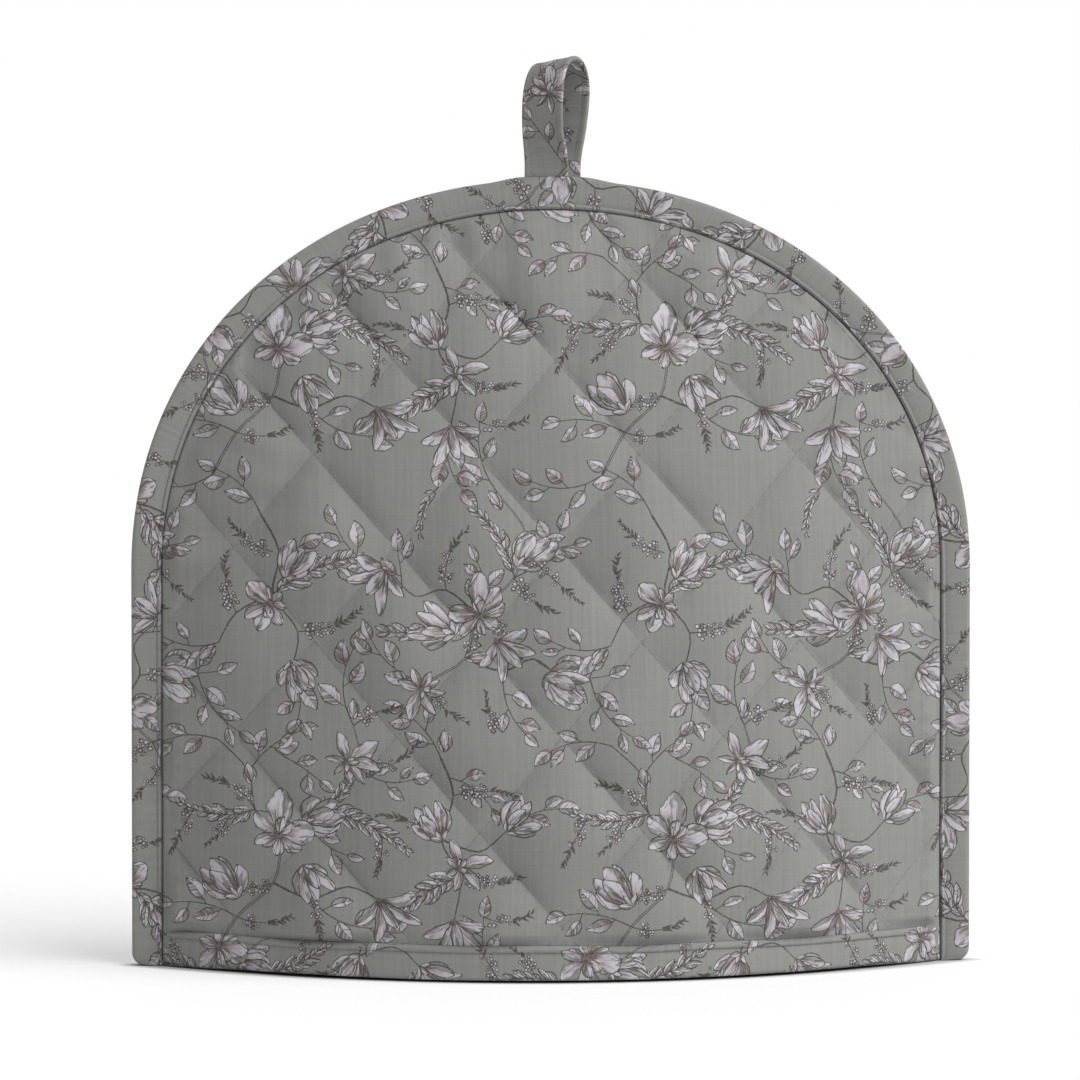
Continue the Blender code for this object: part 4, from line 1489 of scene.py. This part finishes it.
def make_stitches(name, lines, length):
    """Stitches of that length along lines of places, as one plain mesh."""
    settings = bpy.context.scene.cosy_stitching
    points, edges = [], []
    for line in lines:
        start = len(points)
        points.extend(map(tuple, line))
        edges.extend((start + i, start + i + 1) for i in range(len(line) - 1))
    guide = bpy.data.meshes.new(name)
    guide.from_pydata(points, edges, [])
    piece = add_object(name, guide)
    tree = bpy.data.node_groups.get(STITCH_TREE) or stitch_tree()
    sewing = piece.modifiers.new("Sewing", "NODES")
    sewing.node_group = tree
    values = {"Pitch": length + settings.gap, "Length": length, "Thread": settings.thread,
              "Material": bpy.data.materials["sewing thread"]}
    for socket in tree.interface.items_tree:
        if socket.in_out == "INPUT" and socket.name in values:
            sewing[socket.identifier] = values[socket.name]
    bpy.context.view_layer.update()
    depsgraph = bpy.context.evaluated_depsgraph_get()
    mesh = bpy.data.meshes.new_from_object(piece.evaluated_get(depsgraph))
    piece.modifiers.clear()
    piece.data = mesh
    mesh.name = name
    bpy.data.meshes.remove(guide)
    return piece


# ---------------------------------------------------------------- materials

CLOTHS = {"panel cloth": 1.0, "binding cloth": 1.03, "strap cloth": 0.94}    # over 1 is lighter, under 1 darker: the binding cloth is made lighter to make up for the shade on its faces, painted light

# How many waves of each noise fit in a metre of cloth, across and up
MOTTLE = (260, 260)
SLUBS_UP = (800, 28)
SLUBS_ACROSS = (30, 800)
BROAD = (24, 24)
WEAR = (900, 900)
# The same in a millimetre of a petal, across and along its veins
STREAKS = (1.05, 0.16)
HATCHING = (1.45, 0.2)

TWIST = 9000           # radians of a thread's twist in a metre


class Signal:
    """A shader socket that takes part in expressions: each adds its Math node."""

    def __init__(self, recipe, socket):
        self.recipe = recipe
        self.socket = socket

    def math(self, operation, first, second=0.0):
        return self.recipe.node("ShaderNodeMath", {"operation": operation}, {0: first, 1: second})

    def __add__(self, other):
        return self.math("ADD", self, other)

    def __sub__(self, other):
        return self.math("SUBTRACT", self, other)

    def __rsub__(self, other):
        return self.math("SUBTRACT", other, self)

    def __mul__(self, other):
        return self.math("MULTIPLY", self, other)

    __radd__ = __add__
    __rmul__ = __mul__

    def __mod__(self, other):
        return self.math("MODULO", self, other)

    def sine(self):
        return self.math("SINE", self)

    def size(self):
        return self.math("ABSOLUTE", self)

    def whole(self):
        return self.math("FLOOR", self)


class Recipe:
    """The nodes of a material or of the world, and the node that its looks go into."""

    def __init__(self, owner, shader="Principled BSDF"):
        owner.use_nodes = True
        self.owner = owner
        self.tree = owner.node_tree
        self.shader = self.tree.nodes[shader]

    def node(self, kind, settings=None, inputs=None, output=0):
        """Makes a node: settings first, then the values or links of its sockets."""
        made = self.tree.nodes.new(kind)
        for key, value in (settings or {}).items():
            setattr(made, key, value)
        for key, value in (inputs or {}).items():
            self.feed(made.inputs[key], value)
        return Signal(self, made.outputs[output])

    def feed(self, socket, value):
        if isinstance(value, Signal):
            self.tree.links.new(value.socket, socket)
        else:
            socket.default_value = value

    def scaled(self, place, factors):
        """A place on the cloth, multiplied along each of its directions."""
        return self.node("ShaderNodeVectorMath", {"operation": "MULTIPLY"}, {0: place, 1: (*factors, 0.0)})

    def noise(self, place, factors, detail=2.0):
        """Soft noise from 0 to 1. The factors are how many waves fit in a metre each way."""
        inputs = {"Vector": self.scaled(place, factors), "Scale": 1.0, "Detail": detail}
        return self.node("ShaderNodeTexNoise", None, inputs)

    def between(self, value, low, high, first, last):
        """A value's stretch from low to high, mapped to first and last and kept between them."""
        inputs = {0: value, 1: low, 2: high, 3: first, 4: last}
        return self.node("ShaderNodeMapRange", {"clamp": True}, inputs)

    def mix(self, share, first, second, blend="MIX"):
        """A colour between two."""
        colours = [value if isinstance(value, Signal) else (*value, 1.0) for value in (first, second)]
        inputs = {0: share, 6: colours[0], 7: colours[1]}
        return self.node("ShaderNodeMix", {"data_type": "RGBA", "blend_type": blend}, inputs, 2)

    def grey(self, value):
        return self.node("ShaderNodeCombineXYZ", None, {0: value, 1: value, 2: value})

    def parts(self, vector):
        """The three parts of a colour or vector."""
        split = self.node("ShaderNodeSeparateXYZ", None, {0: vector})
        return [Signal(self, output) for output in split.socket.node.outputs]


def cloth_material(name, tint):
    """Plain-woven cotton with slubs, under the print's three inks."""
    inks, weave = bpy.context.scene.cosy_print, bpy.context.scene.cosy_weave
    cloth = Recipe(bpy.data.materials.new(name))
    place = cloth.node("ShaderNodeUVMap", {"uv_map": "cloth"})
    petal, warm, line = cloth.parts(cloth.node("ShaderNodeVertexColor", {"layer_name": "print"}))
    across, along, _ = cloth.parts(cloth.scaled(place, (math.pi / weave.thread,) * 2))
    mottle = cloth.noise(place, MOTTLE, 3.0)
    across, along = across + mottle * 5.0, along + mottle * 4.0
    over = (((across * (1 / math.pi)).whole() + (along * (1 / math.pi)).whole()) % 2.0).size()
    threads = across.sine().size() * over + along.sine().size() * (1.0 - over)
    slub = cloth.noise(place, SLUBS_UP) * 0.75 + cloth.noise(place, SLUBS_ACROSS) * 0.25
    broad = cloth.noise(place, BROAD)

    vein = cloth.node("ShaderNodeUVMap", {"uv_map": "veins"})
    drawn = cloth.between(petal, 0.02, 0.10, 0.0, 1.0)
    streak = cloth.noise(vein, STREAKS)
    pale = cloth.between(streak + petal * 0.28, 0.62, 0.70, 0.0, 1.0) * drawn
    hatch = cloth.noise(vein, HATCHING, 1.0) - petal * 0.11
    hatch = cloth.between(hatch, 0.51, 0.56, 0.0, 1.0) * drawn

    # slubs and broad patches are the yarn's own tone; the threads term darkens the gaps between threads,
    # painted shade of the weave
    shade = 1.0 + (slub - 0.5) * (4 * weave.slub) + (threads - 0.5) * 0.05 + (broad - 0.5) * 0.10
    sage = cloth.mix(1.0, tuple(part * tint for part in inks.sage), (1, 1, 1), "MULTIPLY")
    pinkish = tuple(part * factor for part, factor in zip(inks.lilac, (0.84, 0.80, 0.82)))
    lilac = cloth.mix(cloth.between(mottle, 0.42, 0.72, 0.0, 1.0), tuple(inks.lilac), pinkish)
    colour = cloth.mix(pale * 0.85 + petal * 0.1, sage, lilac)
    colour = cloth.mix(warm * cloth.between(streak, 0.42, 0.62, 0.95, 0.25), colour, tuple(inks.blush))
    worn = cloth.between(cloth.noise(place, WEAR, 1.0), 0.30, 0.55, 0.60, 1.0)
    colour = cloth.mix((line * worn + hatch * 0.7) * 0.9, colour, tuple(inks.ink))
    colour = cloth.mix(1.0, colour, cloth.grey(shade), "MULTIPLY")

    shader = cloth.shader
    cloth.feed(shader.inputs["Base Color"], colour)
    cloth.feed(shader.inputs["Roughness"], weave.rough - petal * 0.05 + (slub - 0.5) * 0.15)
    shader.inputs["Sheen Weight"].default_value = weave.sheen
    shader.inputs["Sheen Roughness"].default_value = 0.5
    shader.inputs["Specular IOR Level"].default_value = 0.3
    height = threads * 0.5 + slub * 0.9 + petal * 0.06
    inputs = {"Strength": 0.55, "Distance": weave.relief, "Height": height}
    cloth.feed(shader.inputs["Normal"], cloth.node("ShaderNodeBump", None, inputs))


def thread_material(name):
    """Spun sewing thread: matt, with a fine twist along it whose grooves are drawn darker as painted shade.
    """
    settings = bpy.context.scene.cosy_stitching
    thread = Recipe(bpy.data.materials.new(name))
    x, y, z = thread.parts(thread.node("ShaderNodeTexCoord", None, None, 3))
    twist = ((x + y * 0.4 - z) * TWIST).sine() * 0.5 + 0.5
    # painted shade: the thread is drawn darker in the grooves of its twist
    dark = tuple(part * 0.72 for part in settings.thread_colour)
    thread.feed(thread.shader.inputs["Base Color"], thread.mix(twist, dark, tuple(settings.thread_colour)))
    thread.feed(thread.shader.inputs["Roughness"], 0.75 + twist * 0.1)
    thread.shader.inputs["Specular IOR Level"].default_value = 0.35


def floor_material():
    """A pale table that gives off light of its own, painted light, with a painted shadow at the cosy's foot
    where that light is left out.
    """
    floor = Recipe(bpy.data.materials.new("table"))
    x, y, _ = floor.parts(floor.node("ShaderNodeTexCoord", None, None, 3))
    # painted shadow: the table's emission fades to nothing towards the cosy's foot
    beside = y.size() - STAND_OUT + x * x * (STAND_OUT / HALF ** 2)
    table_light_past_foot_shadow = floor.between(beside, 0.0, FOOT_SHADOW_REACH, 0.0, 1.0)
    floor.feed(floor.shader.inputs["Emission Color"], floor.grey(table_light_past_foot_shadow))
    floor.shader.inputs["Emission Strength"].default_value = TABLE_GLOW
    floor.shader.inputs["Base Color"].default_value = (0.5, 0.5, 0.5, 1)
    floor.shader.inputs["Roughness"].default_value = 0.9
    floor.shader.inputs["Specular IOR Level"].default_value = 0.0
    return floor.owner


def cloths():
    """Makes the cloths and the thread once, and the print that they share."""
    if "sewing thread" not in bpy.data.materials:
        for name, tint in CLOTHS.items():
            cloth_material(name, tint)
        thread_material("sewing thread")
    settings = bpy.context.scene.cosy_print
    return laid_print(settings.line, settings.seed)


@functools.lru_cache(maxsize=1)
def laid_print(line, seed):
    """The print, which is drawn again only when its settings change."""
    return ClothPrint(line, seed)


# ---------------------------------------------------------------- stage

def make_studio(settings):
    """A pale table, soft light and the camera."""
    scene = bpy.context.scene
    table = bpy.data.meshes.new("table")
    far = TABLE_REACH
    corners = [(x, y, TABLE_TOP) for x, y in ((-far, -far), (far, -far), (far, far), (-far, far))]
    table.from_pydata(corners, [], [(0, 1, 2, 3)])
    table.materials.append(floor_material())
    floor = add_object("table", table)

    world = Recipe(bpy.data.worlds.new("Soft studio"), "Background")
    scene.world = world.owner
    _, back, _ = world.parts(world.node("ShaderNodeTexCoord"))
    light = world.between(back, 0.0, 1.0, settings.ambient, settings.ambient_behind)
    seen = world.node("ShaderNodeLightPath")
    strength = world.node("ShaderNodeMix", None, {"Factor": seen, "A": light, "B": 1.0})
    world.feed(world.shader.inputs["Strength"], strength)
    world.shader.inputs["Color"].default_value = (1, 1, 1, 1)

    sun = bpy.data.lights.new("Key", "SUN")
    sun.energy = settings.key
    sun.angle = settings.key_spread
    key = add_object("Key", sun)
    level = math.cos(settings.key_rise)
    towards = Vector((math.sin(settings.key_turn) * level, -math.cos(settings.key_turn) * level,
                      math.sin(settings.key_rise)))
    key.rotation_euler = towards.to_track_quat("Z", "Y").to_euler()

    lens = bpy.data.cameras.new("Camera")
    lens.sensor_width = 36
    lens.lens = settings.lens
    camera = add_object("Camera", lens)
    place = Vector((-math.sin(settings.turn), -math.cos(settings.turn), 0)) * settings.distance
    place.z = settings.height
    camera.location = place
    camera.rotation_euler = (AIM - place).to_track_quat("-Z", "Y").to_euler()
    scene.camera = camera
    scene.view_settings.view_transform = "Standard"


# ---------------------------------------------------------------- operators

class COSY_OT_panels(Operator):
    """Make the two quilted panels"""
    bl_idname = "cosy.panels"
    bl_label = "Panels"

    def execute(self, context):
        cloth_print = cloths()
        for name, facing, shift in (("front", -1, FRONT_SHIFT), ("back", 1, BACK_SHIFT)):
            piece = make_panel("quilted_" + name, facing, cloth_print, shift)
            declare(piece, "quilted_cotton", "panel_" + name)
        return {"FINISHED"}


class COSY_OT_arch_binding(Operator):
    """Make the binding that joins the panels over the arch"""
    bl_idname = "cosy.arch_binding"
    bl_label = "Arch binding"

    def execute(self, context):
        strip = arch_strip(context.scene.cosy_binding)
        piece = make_strip("bound_arch", strip, cloths(), ARCH_SHIFT, "binding cloth", rows=4, footed=True)
        declare(piece, "cotton_binding", "binding_arch")
        return {"FINISHED"}


class COSY_OT_hem_bindings(Operator):
    """Make the bindings of the two hems"""
    bl_idname = "cosy.hem_bindings"
    bl_label = "Hem bindings"

    def execute(self, context):
        for name, facing, shift in (("front", -1, HEM_SHIFT), ("back", 1, HEM_BACK_SHIFT)):
            strip = hem_strip(context.scene.cosy_binding, facing)
            piece = make_strip("bound_hem_" + name, strip, cloths(), shift, "binding cloth", rows=2)
            declare(piece, "cotton_binding", "hem_binding_" + name)
            "panel_" + name
        return {"FINISHED"}


class COSY_OT_loop(Operator):
    """Make the hanging loop"""
    bl_idname = "cosy.loop"
    bl_label = "Hanging loop"

    def execute(self, context):
        strip = loop_strip(context.scene.cosy_binding)
        piece = make_strip("strap_loop", strip, cloths(), LOOP_SHIFT, "strap cloth")
        declare(piece, "cotton_strap", "loop")
        return {"FINISHED"}


class COSY_OT_stitching(Operator):
    """Sew the quilting lines, the bindings' edges and the strap"""
    bl_idname = "cosy.stitching"
    bl_label = "Stitching"

    def execute(self, context):
        cloths()
        scene = context.scene
        sewing, binding = scene.cosy_stitching, scene.cosy_binding
        for name, facing in (("front", -1), ("back", 1)):
            panelling = Panelling(scene.cosy_quilting, facing)
            lines = quilting_lines(panelling, facing, sewing.thread * QUILTING_OUT)
            declare(make_stitches("quilting_stitches_" + name, lines, sewing.long), "quilted_cotton")
        strips = [arch_strip(binding), hem_strip(binding, -1), hem_strip(binding, 1), loop_strip(binding)]
        seams = [seam for strip in strips for seam in strip.seams(sewing.thread * SEAM_OUT)]
        declare(make_stitches("edge_stitches", seams, sewing.short), "cotton_binding")
        return {"FINISHED"}


class COSY_OT_studio(Operator):
    """Add the table, the light and the camera"""
    bl_idname = "cosy.studio"
    bl_label = "Table, light and camera"

    def execute(self, context):
        make_studio(context.scene.cosy_studio)
        return {"FINISHED"}


OPERATORS = (COSY_OT_panels, COSY_OT_arch_binding, COSY_OT_hem_bindings, COSY_OT_loop,
             COSY_OT_stitching, COSY_OT_studio)
SETTINGS = {"cosy_print": CosyPrint, "cosy_quilting": CosyQuilting, "cosy_weave": CosyWeave,
            "cosy_binding": CosyBinding, "cosy_stitching": CosyStitching, "cosy_studio": CosyStudio}


class COSY_PT_panel(Panel):
    """The cosy's settings and steps"""
    bl_idname = "COSY_PT_panel"
    bl_label = "Tea cosy"
    bl_space_type = "VIEW_3D"
    bl_region_type = "UI"
    bl_category = "Tea cosy"

    def draw(self, context):
        for label in SETTINGS:
            group = getattr(context.scene, label)
            box = self.layout.box()
            box.label(text=type(group).__doc__)
            for key in type(group).__annotations__:
                box.prop(group, key)
        for operator in OPERATORS:
            self.layout.operator(operator.bl_idname)


def register():
    for kind in (*SETTINGS.values(), *OPERATORS, COSY_PT_panel):
        bpy.utils.register_class(kind)
    for label, kind in SETTINGS.items():
        setattr(bpy.types.Scene, label, PointerProperty(type=kind))


def unregister():
    for label in SETTINGS:
        delattr(bpy.types.Scene, label)
    for kind in reversed((*SETTINGS.values(), *OPERATORS, COSY_PT_panel)):
        bpy.utils.unregister_class(kind)


def main():
    register()
    for operator in OPERATORS:
        group, step = operator.bl_idname.split(".")
        getattr(getattr(bpy.ops, group), step)()


if __name__ == "__main__":
    main()
